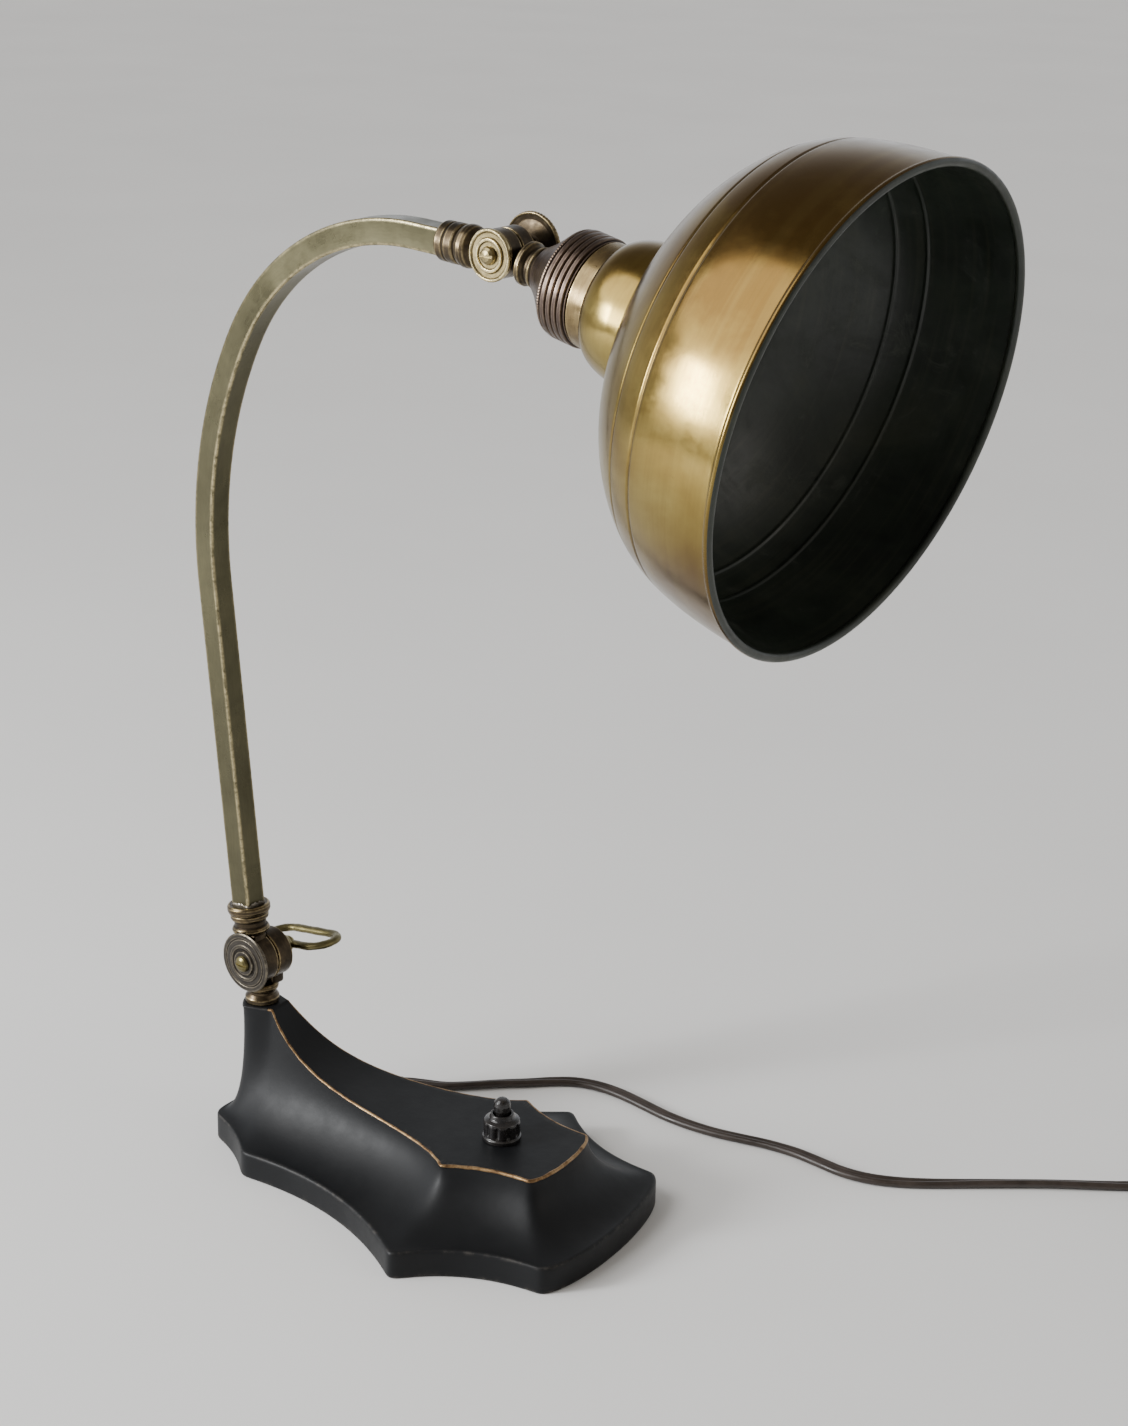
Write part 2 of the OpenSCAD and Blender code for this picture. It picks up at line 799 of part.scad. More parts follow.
module upper_head_half() {
    color("#3a302a")
        difference() {
            union() {
                at_up_pivot()
                    far_side()
                        turned([[0, face], [up_r, face], [up_r, half_u - 0.5],
                                [up_r - 0.5, half_u], [0, half_u]]);
                at_head()
                    turned([[0, 9.3], [6, 9.3], [7.2, 10.2], [8, 11.2], [8, 12.6],
                            [7.1, 13.6], [6.4, 14.2], [6.4, 15.4], [7.4, 16], [7.6, 16.8],
                            [7.2, 17.8], [7.6, 18.4], [7.6, cap_start], [6, cap_start],
                            [6, 24], [0, 24]]);
                at_head()
                    translate([-5.5, face, 4])
                        cube([11, half_u - face - 1, 7]);
            }
            at_head()
                disc(3, 11, 30);
            at_up_pivot()
                far_side()
                    disc(pin_u + gap, -20, 20);
        }
}

module socket_cap() {
    ribs = 4;
    pitch = 2.5;
    rib_start = 33;
    rib_half = 0.75;
    groove_r = cap_r - 1;
    color("#43383a")
        at_head()
            difference() {
                union() {
                    turned([[6 + gap, cap_start], [8.6, cap_start], [9.4, 20.2], [11.4, 23],
                            [14.2, 26.2], [17, 29.2], [18.6, 31], [19.3, 31.6],
                            [19.3, 32.2], [groove_r, 32.6], [groove_r, cap_end],
                            [17.9, cap_end], [17.9, 33], [13, 27.5], [9, 23.6],
                            [6 + gap, 22.5]]);
                    for (i = [0:ribs - 1])
                        turned([[17.9 + gap, rib_start + i * pitch],
                                [groove_r, rib_start + i * pitch],
                                [cap_r, rib_start + i * pitch + rib_half],
                                [cap_r, rib_start + i * pitch + 2 * rib_half],
                                [groove_r, rib_start + i * pitch + 3 * rib_half],
                                [17.9 + gap, rib_start + i * pitch + 3 * rib_half]]);
                }
                rotate([0, 0, 155])
                    translate([0, 0, 21.6])
                        rotate([0, 90, 0])
                            disc(1.05, 0, 20);
            }
}

module cap_set_screw() {
    color("#2b2826")
        at_head()
            rotate([0, 0, 155])
                translate([0, 0, 21.6])
                    rotate([0, 90, 0])
                        difference() {
                            disc(1, 6.1, 9);
                            slot(0.35, 0.6, 9);
                        }
}

module socket_shell() {
    color("#8f7b52")
        at_head()
            turned([[17, 34], [17.6, 34], [17.6, cap_end + 0.1], [shell_r, cap_end + 0.7],
                    [shell_r, shell_end], [shell_r - 0.6, shell_end],
                    [shell_r - 0.6, cap_end + 1.3], [17, cap_end + 0.7]]);
}

module socket_liner() {
    color("#5a4326")
        at_head()
            tube(16.9, 16, 34.5, liner_end);
}

module socket_insulator() {
    color("#d8d2c4")
        at_head()
            difference() {
                disc(15.8, 35, screw_shell_start);
                disc(10, insulator_end, 60);
                for (side = [-1, 1])
                    translate([0, side * 9, 0])
                        disc(1.3, 30, insulator_end + eps);
                disc(2, 30, 40);
            }
}

module socket_screw_shell() {
    color("#b79a4d")
        at_head()
            tube(screw_shell_r + 0.5, screw_shell_r, screw_shell_start, screw_shell_end);
}

module socket_contact() {
    color("#c2a45c")
        at_head()
            turned([[0, insulator_end], [3.4, insulator_end], [3.4, 46.2], [2, 47.8],
                    [0, 48.2]]);
}

module head_leads() {
    color("#5b3b2a")
        at_head()
            for (side = [1, -1])
                swept([[0, side * 1.3, 12.5], [0, side * 1.3, 24], [0, side * 3, 27],
                       [0, side * 8, 31.5], [0, side * 9, 34.9]], lead_d, lead_d, [1, 0, 0]);
}

module shade_ring() {
    color("#9c8350")
        at_head()
            difference() {
                tube(20, shell_r, shade_start + 1, shade_start + 5);
                for (a = [0:60:359])
                    rotate([0, 0, a])
                        translate([18, -0.6, shade_start + 4])
                            cube([4, 1.2, 3]);
            }
}

// Outer line of the bowl as [radius, distance], neck to lip, with its normals
bowl_parts = [[[20.7, shade_start], [23.2, 53], [25.2, 57.5], [collar_r, 66], 6],
              [[collar_r, 66], [collar_r, 70], [collar_r, 76], [collar_r, 80], 1],
              [[collar_r, 80], [collar_r, 81.2], [26.6, 82], [27.8, 82.1], 3],
              [[27.8, 82.1], [46, 83], [66.5, 94], [76.3, 112], 14],
              [[76.3, 112], [81.5, 121], [84.2, 138], [mouth_r, mouth_h], 12]];
bowl_line = [for (b = bowl_parts, i = [0:b[4] - 1]) bezier(b[0], b[1], b[2], b[3], i / b[4])];
bowl_dirs = [for (b = bowl_parts, i = [0:b[4] - 1]) bezier_dir(b[0], b[1], b[2], b[3], i / b[4])];
bowl_end = [mouth_r, mouth_h - 1];
bowl_inner = [for (i = [len(bowl_line) - 1:-1:0])
    let (d = bowl_dirs[i]) bowl_line[i] + shade_t * [-d[1], d[0]]];

module shade() {
    grooves = [[76.3, 112], [80.3, 122.4]];
    color("#a9853f")
        at_head()
            difference() {
                union() {
                    turned(concat(bowl_line, [bowl_end], [bowl_end - [shade_t, 0]], bowl_inner));
                    tube(20.4, shell_r + gap, shade_start, shade_start + 1);
                    rotate_extrude()
                        translate([mouth_r - lip_r + 0.8, mouth_h - 0.2])
                            circle(r = lip_r, $fn = 24);
                }
                for (g = grooves)
                    turned([[g[0] + 0.6, g[1] - 0.6], [g[0] + 0.6, g[1] + 0.6],
                            [g[0] - 0.3, g[1] + 0.15]]);
            }
}

// The cord lies flat: its section's width is level along the whole route
module cord_run() {
    color("#2a211c") {
        swept(route, cord_w, cord_t, [0, 0, 1]);
        swept(tail, cord_w, cord_t, [0, 0, 1]);
    }
}

// Two layers of turns, the cord on its edge
module cord_coil() {
    half = coil_spread + cord_t / 2;
    color("#2a211c")
        translate([coil_c[0], coil_c[1], 0])
            tube(coil_r + half, coil_r - half, 0, 2 * cord_w);
}

module plug_body() {
    color("#1d1b1a")
        translate([plug_at[0], plug_at[1], plug_z])
            rotate([90, 0, 0]) {
                turned([[0, -2], [3.4, -2], [4.6, 6], [4.6, 8], [0, 8]]);
                translate([-9, -plug_z, 7])
                    cube([18, 14, plug_l - 7]);
            }
}

module plug_blades() {
    blade = [1.5, 6.4, 16];
    spacing = 12.7;
    color("#b5a064")
        translate([plug_at[0], plug_at[1] - plug_l, plug_z])
            rotate([90, 0, 0])
                for (side = [-1, 1])
                    translate([side * spacing / 2 - blade[0] / 2, -blade[1] / 2, 0])
                        cube(blade);
}

base_casting();
bottom_plate();
felt_pad();
plate_screws();
cord_bushing();
switch_body();
switch_terminals();
switch_nut();
switch_spring();
switch_button();
base_leads();
lower_foot();
foot_washer();
foot_nut();
lower_pivot_screw();
lower_disc();
lower_friction_washer();
lower_arm_half();
lower_loop_key();
arm_tube();
upper_arm_half();
arm_leads();
upper_pivot_screw();
upper_disc();
upper_friction_washer();
upper_thumb_wheel();
upper_head_half();
socket_cap();
cap_set_screw();
socket_shell();
socket_liner();
socket_insulator();
socket_screw_shell();
socket_contact();
head_leads();
shade_ring();
shade();
cord_run();
cord_coil();
plug_body();
plug_blades();
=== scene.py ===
import math
import random

import bmesh
import bpy
import numpy as np
from mathutils import Matrix, Vector


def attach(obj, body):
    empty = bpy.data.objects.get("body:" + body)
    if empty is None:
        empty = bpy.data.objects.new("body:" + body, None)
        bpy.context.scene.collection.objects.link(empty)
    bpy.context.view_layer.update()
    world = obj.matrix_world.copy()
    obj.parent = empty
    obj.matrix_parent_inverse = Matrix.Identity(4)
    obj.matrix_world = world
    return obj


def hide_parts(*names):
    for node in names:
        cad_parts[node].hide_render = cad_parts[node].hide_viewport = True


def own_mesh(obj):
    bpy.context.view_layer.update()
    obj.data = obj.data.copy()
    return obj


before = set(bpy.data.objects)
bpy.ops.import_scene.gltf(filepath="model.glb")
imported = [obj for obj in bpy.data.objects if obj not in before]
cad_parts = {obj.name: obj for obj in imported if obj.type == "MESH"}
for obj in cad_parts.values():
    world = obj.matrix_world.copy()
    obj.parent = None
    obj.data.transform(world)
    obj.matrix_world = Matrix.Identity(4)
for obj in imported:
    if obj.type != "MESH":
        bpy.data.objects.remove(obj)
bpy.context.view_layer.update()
MM = 0.001

# ---------------------------------------------------------------- the part's own numbers, in mm

BASE_L, WING_HALF, RIM_H, TOP_H, NECK_H = 190, 68, 11.6, 33, 60
REAR_X, NOSE_X = -BASE_L / 2, BASE_L / 2
NECK_X = REAR_X + 11.7
SWITCH_X = NECK_X + 121.8
TUBE_W = 10
ARM_YAW, ARM_OFFSET, ARM_LEAN = -6.8, -2.2, 6.2
ARM_START = (-4.2, 98)
ARM_STRAIGHT, BEND1_R, BEND1_A, BEND2_R, BEND2_A = 144.5, 177.5, 34.5, 97, 64.2
END_STRAIGHT = 14
PIVOT_REACH = 37.7
LOW_PIVOT_Z, LOW_R, LOW_DISC_R = 80.6, 10.5, 13
UP_R, UP_DISC_R = 8.8, 9.35
HEAD_TILT = 11.65
MOUTH_R, MOUTH_H, SHADE_T, LIP_R = 84.8, 157, 0.9, 1.6
CORD_W, CORD_T = 5.2, 3.0
COIL_C, COIL_R, LAYER_TURNS, TURN_PITCH = (308, 168), 28.8, 3.7, 3.1
BUSHING_X = NECK_X + 22
PLUG_AT, PLUG_Z = (338.6, 120), 7
HALF_L, HALF_U, FACE = 8.6, 7.0, 0.4
SPRING_Z, SPRING_L, PRESS = 12, 10, 2.2
RELIEF_L = 23
COVE_RINGS, TOP_COLUMNS = 46, 16
BOWL_HOLE_R, BOWL_SEGS = 19.05, 320
WELL_TURN, WELL_Z, WELL_R, WELL_DIRT_R, WELL_FROM, WELL_FLOOR = 155, 21.6, 1.12, 1.5, 7.5, 8.3


def turn(axis, degrees):
    return Matrix.Rotation(math.radians(degrees), 4, axis)


def shift(x, y, z):
    return Matrix.Translation((x * MM, y * MM, z * MM))


def sind(a):
    return math.sin(math.radians(a))


def cosd(a):
    return math.cos(math.radians(a))


HEAD1 = BEND1_A - ARM_LEAN
HEAD2 = HEAD1 + BEND2_A
BEND1_START = (ARM_START[0] - ARM_STRAIGHT * sind(ARM_LEAN), ARM_START[1] + ARM_STRAIGHT * cosd(ARM_LEAN))
BEND1_END = (BEND1_START[0] + BEND1_R * (cosd(ARM_LEAN) - cosd(HEAD1)),
             BEND1_START[1] + BEND1_R * (sind(ARM_LEAN) + sind(HEAD1)))
BEND2_END = (BEND1_END[0] + BEND2_R * (cosd(HEAD1) - cosd(HEAD2)),
             BEND1_END[1] + BEND2_R * (sind(HEAD2) - sind(HEAD1)))
UP_PIVOT = (BEND2_END[0] + PIVOT_REACH * sind(HEAD2), BEND2_END[1] + PIVOT_REACH * cosd(HEAD2))

AT_ARM = shift(NECK_X, 0, 0) @ turn("Z", ARM_YAW)
AT_LOW = AT_ARM @ shift(0, 0, LOW_PIVOT_Z)
AT_UP = AT_ARM @ shift(UP_PIVOT[0], 0, UP_PIVOT[1])
AT_TUBE = AT_ARM @ shift(ARM_START[0], ARM_OFFSET, ARM_START[1]) @ turn("Y", -ARM_LEAN)
AT_TUBE_END = AT_ARM @ shift(BEND2_END[0], ARM_OFFSET, BEND2_END[1]) @ turn("Y", HEAD2)
AT_HEAD = AT_UP @ turn("Y", 90 + HEAD_TILT)
NEAR = turn("X", 90)
FAR = turn("X", -90)
FLIP_Z = Matrix.Diagonal((1, 1, -1, 1))

# ---------------------------------------------------------------- camera


def make_camera():
    data = bpy.data.cameras.new("camera")
    camera = bpy.data.objects.new("camera", data)
    bpy.context.scene.collection.objects.link(camera)
    rows = Matrix(((0.84637, 0.53210, 0.02293), (-0.20748, 0.28976, 0.93434),
                   (0.49052, -0.79556, 0.35564)))
    camera.matrix_world = Matrix.Translation((0.5371, -0.7688, 0.5657)) @ rows.transposed().to_4x4()
    data.sensor_width = 36
    data.lens = 65.37
    data.clip_start = 0.01
    data.clip_end = 50
    bpy.context.scene.camera = camera


# ---------------------------------------------------------------- mesh building


def turning(points):
    """Above zero for a closed line of points that runs anticlockwise."""
    return sum(p[0] * q[1] - q[0] * p[1] for p, q in zip(points, points[1:] + points[:1]))


def grid_faces(rows, across, loop=False, wrap=True):
    """Quads between rows of across points. Wrap closes each row, loop joins the last row to the first."""
    return [(i * across + k, i * across + (k + 1) % across, j * across + (k + 1) % across, j * across + k)
            for i in range(rows if loop else rows - 1) for j in [(i + 1) % rows]
            for k in range(across if wrap else across - 1)]


def flipped(faces):
    return [f[:1] + f[:0:-1] for f in faces]


def superellipse(half_x, half_y, power, step):
    """Points of a rounded rectangle; the lower the power, the squarer."""
    return np.array([(math.copysign(abs(cosd(a)) ** power, cosd(a)) * half_x,
                      math.copysign(abs(sind(a)) ** power, sind(a)) * half_y)
                     for a in range(0, 360, step)])


def along_run(points):
    """How far along a line of points each of them is."""
    return np.concatenate([[0], np.cumsum(np.linalg.norm(np.diff(points, axis=0), axis=1))])


def unit(vectors):
    return vectors / np.linalg.norm(vectors, axis=1)[:, None]


def face_outward(obj):
    bm = bmesh.new()
    bm.from_mesh(obj.data)
    bmesh.ops.recalc_face_normals(bm, faces=bm.faces)
    bm.to_mesh(obj.data)
    bm.free()


STRAIGHT = 0.03      # a corner flatter than this, in radians, stays as it is
CUT_SHARE = 0.42     # the share of a side that a rounding may take
SHOULDER = 0.4       # clean rows this far from a rounding keep its wear and dirt on it


def fillet(points, radius, steps=4, closed=True):
    """A line with rounded corners, as rows of (a, b, wear, dirt): wear outside, dirt in inner corners."""
    points = [(float(p[0]), float(p[1])) for p in points]
    n = len(points)
    area = turning(points)
    rows = []
    for i, p in enumerate(points):
        if not closed and i in (0, n - 1) or p[0] <= 1e-9:
            rows.append((p[0], p[1], 0.0, 0.0))
            continue
        a, b = points[i - 1], points[(i + 1) % n]
        da, db = (a[0] - p[0], a[1] - p[1]), (b[0] - p[0], b[1] - p[1])
        la, lb = math.hypot(*da), math.hypot(*db)
        da, db = (da[0] / la, da[1] / la), (db[0] / lb, db[1] / lb)
        bend = math.pi - math.acos(max(-1.0, min(1.0, da[0] * db[0] + da[1] * db[1])))
        if bend < STRAIGHT:
            rows.append((p[0], p[1], 0.0, 0.0))
            continue
        cut = min(radius * math.tan(bend / 2), CUT_SHARE * la, CUT_SHARE * lb)
        outer = (-da[0] * db[1] + da[1] * db[0]) * area > 0
        mark = min(1.0, bend)
        worn, dirty = (mark, 0.0) if outer else (0.0, mark)
        start = (p[0] + da[0] * cut, p[1] + da[1] * cut)
        end = (p[0] + db[0] * cut, p[1] + db[1] * cut)
        if la - cut > 0.9:
            rows.append((start[0] + da[0] * SHOULDER, start[1] + da[1] * SHOULDER, 0.0, 0.0))
        for k in range(steps + 1):
            t = k / steps
            u = 1 - t
            rows.append((start[0] * u * u + 2 * p[0] * u * t + end[0] * t * t,
                         start[1] * u * u + 2 * p[1] * u * t + end[1] * t * t, worn, dirty))
        if lb - cut > 0.9:
            rows.append((end[0] + db[0] * SHOULDER, end[1] + db[1] * SHOULDER, 0.0, 0.0))
    return rows


def split_rows(rows, low, high, step):
    """Adds rows to a profile between two heights, no further apart than step."""
    out = []
    for a, b in zip(rows, rows[1:] + rows[:1]):
        out.append(a)
        n = int(math.dist(a[:2], b[:2]) / step)
        if n > 0 and all(low <= p[1] <= high for p in (a, b)):
            out += [tuple(p + (q - p) * k / (n + 1) for p, q in zip(a, b)) for k in range(1, n + 1)]
    return out


class Build:
    """Collects vertices in mm with their wear, dirt and grain, and makes one mesh object."""

    def __init__(self):
        self.verts, self.faces, self.wear, self.dirt, self.grain = [], [], [], [], []

    def add(self, verts, faces, wear=0.0, dirt=0.0, grain=None, at=None):
        start = len(self.verts)
        verts = np.asarray(verts, float)
        n = len(verts)
        if at is not None:
            m = np.array(at, float)
            verts = verts @ m[:3, :3].T + m[:3, 3] / MM
            if np.linalg.det(m[:3, :3]) < 0:
                faces = [tuple(reversed(f)) for f in faces]
        self.verts += verts.tolist()
        self.faces += [tuple(start + i for i in f) for f in faces]
        self.wear += np.broadcast_to(wear, n).tolist()
        self.dirt += np.broadcast_to(dirt, n).tolist()
        self.grain += (verts * 0.2 if grain is None else np.asarray(grain, float)).tolist()

    def lathe(self, points, at=None, radius=0.3, steps=4, segs=96, closed=True, wobble=None, fine=None):
        """Turns a profile of (r, z) about Z. A closed profile without axis points makes a ring."""
        rows = fillet(points, radius, steps, closed) if radius else [(*p, 0.0, 0.0) for p in points]
        if fine:
            rows = split_rows(rows, *fine)
        m = len(rows)
        if turning(rows) < 0:
            rows.reverse()
        a = np.linspace(0, 2 * np.pi, segs, endpoint=False)
        c, s = np.cos(a), np.sin(a)
        run = np.concatenate([[0], np.cumsum([math.dist(rows[i][:2], rows[i - 1][:2])
                                              for i in range(1, m)])])
        verts, grain, wear, dirt = [], [], [], []
        for (r, z, w, d), t in zip(rows, run):
            out = r + (wobble(r, z, a) if wobble is not None else 0.0) * np.ones(segs)
            verts.append(np.column_stack([out * c, out * s, np.full(segs, z)]))
            grain.append(np.column_stack([2.5 * c, 2.5 * s, np.full(segs, t)]))
            wear += [w] * segs
            dirt += [d] * segs
        faces = []
        axis = [r[0] <= 1e-9 for r in rows]
        for i in range(m if closed else m - 1):
            j = (i + 1) % m
            if axis[i] and axis[j]:
                continue
            for k in range(segs):
                beside = (k + 1) % segs
                quad = [i * segs + k, i * segs + beside, j * segs + beside, j * segs + k]
                if axis[i]:
                    quad.pop(1)
                elif axis[j]:
                    quad.pop(2)
                faces.append(tuple(quad))
        self.add(np.vstack(verts), faces, wear, dirt, np.vstack(grain), at)

    def sweep(self, centres, sides, ups, section, at=None, wear=0.0, closed=False, run=None):
        """Carries a section of (side, up) points, or a list of them, along centres."""
        centres, sides, ups = (np.asarray(v, float) for v in (centres, sides, ups))
        section = [np.asarray(x, float) for x in (section if isinstance(section, list) else [section])]
        n, m = len(centres), len(section[0])
        verts, grain = [], []
        run = along_run(centres) if run is None else run
        for i in range(n):
            s = section[i % len(section)]
            verts.append(centres[i] + s[:, :1] * sides[i] + s[:, 1:2] * ups[i])
            grain.append(np.column_stack([np.full(m, run[i] * 0.12), np.zeros(m), along_run(s)]))
        faces = grid_faces(n, m, closed)
        if not closed:
            faces.append(tuple(range(m - 1, -1, -1)))
            faces.append(tuple((n - 1) * m + k for k in range(m)))
        worn = np.tile(np.broadcast_to(wear, m), n)
        self.add(np.vstack(verts), faces, worn, 0.0, np.vstack(grain), at)

    def block(self, lo, hi, radius, at=None):
        """A box with rounded edges."""
        bm = bmesh.new()
        bmesh.ops.create_cube(bm, size=1.0)
        lo, hi = np.array(lo, float), np.array(hi, float)
        for v in bm.verts:
            v.co = (lo + hi) / 2 + (hi - lo) * np.array(v.co)
        bmesh.ops.bevel(bm, geom=bm.edges[:], offset=radius, segments=4, profile=0.5,
                        affect="EDGES", clamp_overlap=True)
        bmesh.ops.recalc_face_normals(bm, faces=bm.faces)
        bm.verts.ensure_lookup_table()
        self.add([list(v.co) for v in bm.verts], [tuple(v.index for v in f.verts) for f in bm.faces],
                 at=at)
        bm.free()

    def carve(self, test):
        """Moves vertices: test(x, y, z) takes arrays in mm and gives new arrays."""
        v = np.array(self.verts, float)
        self.verts = np.column_stack(test(v[:, 0], v[:, 1], v[:, 2])).tolist()

    def make(self, name, look, body, at=None, stands_for=(), sharp=32):
        """One object with the look of that name, riding on body."""
        mesh = bpy.data.meshes.new(name)
        mesh.from_pydata((np.array(self.verts) * MM).tolist(), [], self.faces)
        if at is not None:
            mesh.transform(at, shape_keys=False)
            if at.determinant() < 0:
                mesh.flip_normals()
        for key, kind, values in (("wear", "FLOAT", self.wear), ("dirt", "FLOAT", self.dirt),
                                  ("grain", "FLOAT_VECTOR", self.grain)):
            layer = mesh.attributes.new(key, kind, "POINT")
            flat = np.array(values, np.float32).ravel()
            layer.data.foreach_set("vector" if kind == "FLOAT_VECTOR" else "value", flat)
        bm = bmesh.new()
        bm.from_mesh(mesh)
        bmesh.ops.remove_doubles(bm, verts=bm.verts, dist=2e-7)
        bmesh.ops.dissolve_degenerate(bm, dist=1e-8, edges=bm.edges)
        bm.to_mesh(mesh)
        bm.free()
        mesh.polygons.foreach_set("use_smooth", [True] * len(mesh.polygons))
        mesh.set_sharp_from_angle(angle=math.radians(sharp))
        mesh.materials.append(LOOKS[look])
        obj = bpy.data.objects.new(name, mesh)
        bpy.context.scene.collection.objects.link(obj)
        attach(obj, body)
        if stands_for:
            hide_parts(*stands_for)
        return obj


def turned(name, look, body, profile, at, stands_for, sharp, **how):
    """A piece that is one profile turned about Z."""
    b = Build()
    b.lathe(profile, **how)
    b.make(name, look, body, at, stands_for, sharp)


# ---------------------------------------------------------------- materials


class Nodes:
    """The emptied node tree of a material or a world."""

    def __init__(self, owner):
        owner.use_nodes = True
        self.tree = owner.node_tree
        self.tree.nodes.clear()

    def node(self, kind, **props):
        made = self.tree.nodes.new("ShaderNode" + kind)
        for key, value in props.items():
            setattr(made, key, value)
        return made

    def put(self, socket, value):
        if isinstance(value, bpy.types.NodeSocket):
            self.tree.links.new(value, socket)
        elif socket.type == "RGBA":
            socket.default_value = (*value, 1.0)
        else:
            socket.default_value = value


class Shader(Nodes):
    """A material being put together from nodes."""

    def __init__(self, name):
        self.material = bpy.data.materials.new(name + "_look")
        super().__init__(self.material)
        self.bsdf = self.node("BsdfPrincipled")
        self.put(self.node("OutputMaterial").inputs[0], self.bsdf.outputs[0])
        place = self.node("TexCoord")
        self.mm = self.scaled(place.outputs["Object"], (1000, 1000, 1000))
        self.wear = self.attribute("wear").outputs["Fac"]
        self.dirt = self.attribute("dirt").outputs["Fac"]
        self.grain = self.attribute("grain").outputs["Vector"]

    def attribute(self, name):
        return self.node("Attribute", attribute_name=name, attribute_type="GEOMETRY")

    def scaled(self, vector, factors):
        made = self.node("VectorMath", operation="MULTIPLY")
        self.put(made.inputs[0], vector)
        self.put(made.inputs[1], factors)
        return made.outputs[0]

    def noise(self, vector, scale, detail=4.0, rough=0.55, distortion=0.0):
        made = self.node("TexNoise")
        self.put(made.inputs["Vector"], vector)
        for key, value in (("Scale", scale), ("Detail", detail), ("Roughness", rough),
                           ("Distortion", distortion)):
            made.inputs[key].default_value = value
        return made.outputs[0]

    def steps(self, value, low, high, to_low=0.0, to_high=1.0):
        """Smooth step of value between low and high."""
        made = self.node("MapRange", interpolation_type="SMOOTHSTEP")
        self.put(made.inputs["Value"], value)
        for key, v in (("From Min", low), ("From Max", high), ("To Min", to_low), ("To Max", to_high)):
            made.inputs[key].default_value = v
        return made.outputs[0]

    def math(self, operation, a, b=0.0, clamp=False):
        made = self.node("Math", operation=operation, use_clamp=clamp)
        self.put(made.inputs[0], a)
        self.put(made.inputs[1], b)
        return made.outputs[0]

    def mix(self, share, a, b, blend="MIX"):
        made = self.node("Mix", data_type="RGBA", blend_type=blend, clamp_factor=True)
        self.put(made.inputs[0], share)
        self.put(made.inputs[6], a)
        self.put(made.inputs[7], b)
        return made.outputs[2]

    def tones(self, value, colours):
        """A colour ramp of (place, colour) pairs."""
        made = self.node("ValToRGB")
        self.put(made.inputs[0], value)
        ramp = made.color_ramp
        while len(ramp.elements) < len(colours):
            ramp.elements.new(0.5)
        for e, (spot, colour) in zip(ramp.elements, colours):
            e.position = spot
            e.color = (*colour, 1.0)
        return made.outputs[0]

    def bump(self, height, depth_mm, strength=1.0, normal=None):
        made = self.node("Bump")
        made.inputs["Strength"].default_value = strength
        made.inputs["Distance"].default_value = depth_mm * MM
        self.put(made.inputs["Height"], height)
        if normal is not None:
            self.put(made.inputs["Normal"], normal)
        return made.outputs[0]

    def axis(self, index):
        """One of the row's coordinates, in mm."""
        made = self.node("SeparateXYZ")
        self.put(made.inputs[0], self.mm)
        return made.outputs[index]

    def finish(self, colour, rough, normal=None, metal=0.0, **constants):
        self.put(self.bsdf.inputs["Base Color"], colour)
        self.put(self.bsdf.inputs["Roughness"], rough)
        self.put(self.bsdf.inputs["Metallic"], metal)
        if normal is not None:
            self.put(self.bsdf.inputs["Normal"], normal)
        for key, value in constants.items():
            self.bsdf.inputs[key.replace("_", " ")].default_value = value
        return self.material


def metal(name, low, mid, high, grime, polish, rough=(0.25, 0.45), cloud=0.06, lines=2.2,
          line_depth=0.006, spots=0.5, wear_gain=1.0, shape=None, metallic=1.0, bands=0.3):
    """Aged metal: clouded patina, turning or drawing lines, dark specks, dirt in corners, rubbed edges."""
    s = Shader(name)
    clouds = s.noise(s.mm, cloud, 5.0, 0.6, 0.4)
    # For the bowl, shape adds painted reflection: browner over the top and at the bottom.
    if shape is not None:
        clouds = shape(s, clouds)
    colour = s.tones(clouds, [(0.3, low), (0.5, mid), (0.7, high)])
    streak = s.noise(s.grain, lines, 3.0, 0.6)
    broad = s.noise(s.grain, lines * 0.22, 3.0, 0.5)
    colour = s.mix(s.steps(streak, 0.35, 0.7, 0.0, bands), colour, grime)
    colour = s.mix(s.steps(broad, 0.45, 0.7, 0.0, bands * 0.8), colour, high)
    specks = s.noise(s.mm, 1.1, 8.0, 0.7)
    speck_mask = s.steps(specks, 0.58, 0.72, 0.0, spots)
    colour = s.mix(speck_mask, colour, grime)
    blot = s.noise(s.mm, 0.35, 6.0, 0.65, 0.8)
    dirty = s.math("MULTIPLY", s.dirt, s.steps(blot, 0.25, 0.6, 0.4, 1.0))
    colour = s.mix(s.math("MULTIPLY", dirty, 0.85), colour, grime)
    worn = s.math("MULTIPLY", s.wear, s.steps(blot, 0.3, 0.62, 0.15, wear_gain), clamp=True)
    colour = s.mix(worn, colour, polish)
    value = s.steps(s.noise(s.mm, cloud * 3.5, 5.0, 0.65), 0.3, 0.7, rough[0], rough[1])
    value = s.math("ADD", value, s.math("MULTIPLY", speck_mask, 0.18))
    value = s.math("ADD", value, s.math("MULTIPLY", dirty, 0.2))
    value = s.math("SUBTRACT", value, s.math("MULTIPLY", worn, 0.1), clamp=True)
    normal = s.bump(streak, line_depth)
    normal = s.bump(specks, 0.004, 0.6, normal)
    return s.finish(colour, value, normal, metallic)


def bowl_painted_reflection(s, clouds):
    """Clouded tone of the bowl with painted reflection by height: browner over the top and at the lowest
    side, golden between.
    """
    # Painted reflection: darker and browner over the top of the bowl.
    up = s.steps(s.axis(2), 345, 440, 0.0, 0.36)
    # Painted reflection: darker and browner towards the bottom of the bowl.
    down = s.steps(s.axis(2), 305, 362, 0.38, 0.0)
    return s.math("SUBTRACT", s.math("ADD", s.math("MULTIPLY", clouds, 0.8), 0.24), s.math("ADD", up, down))


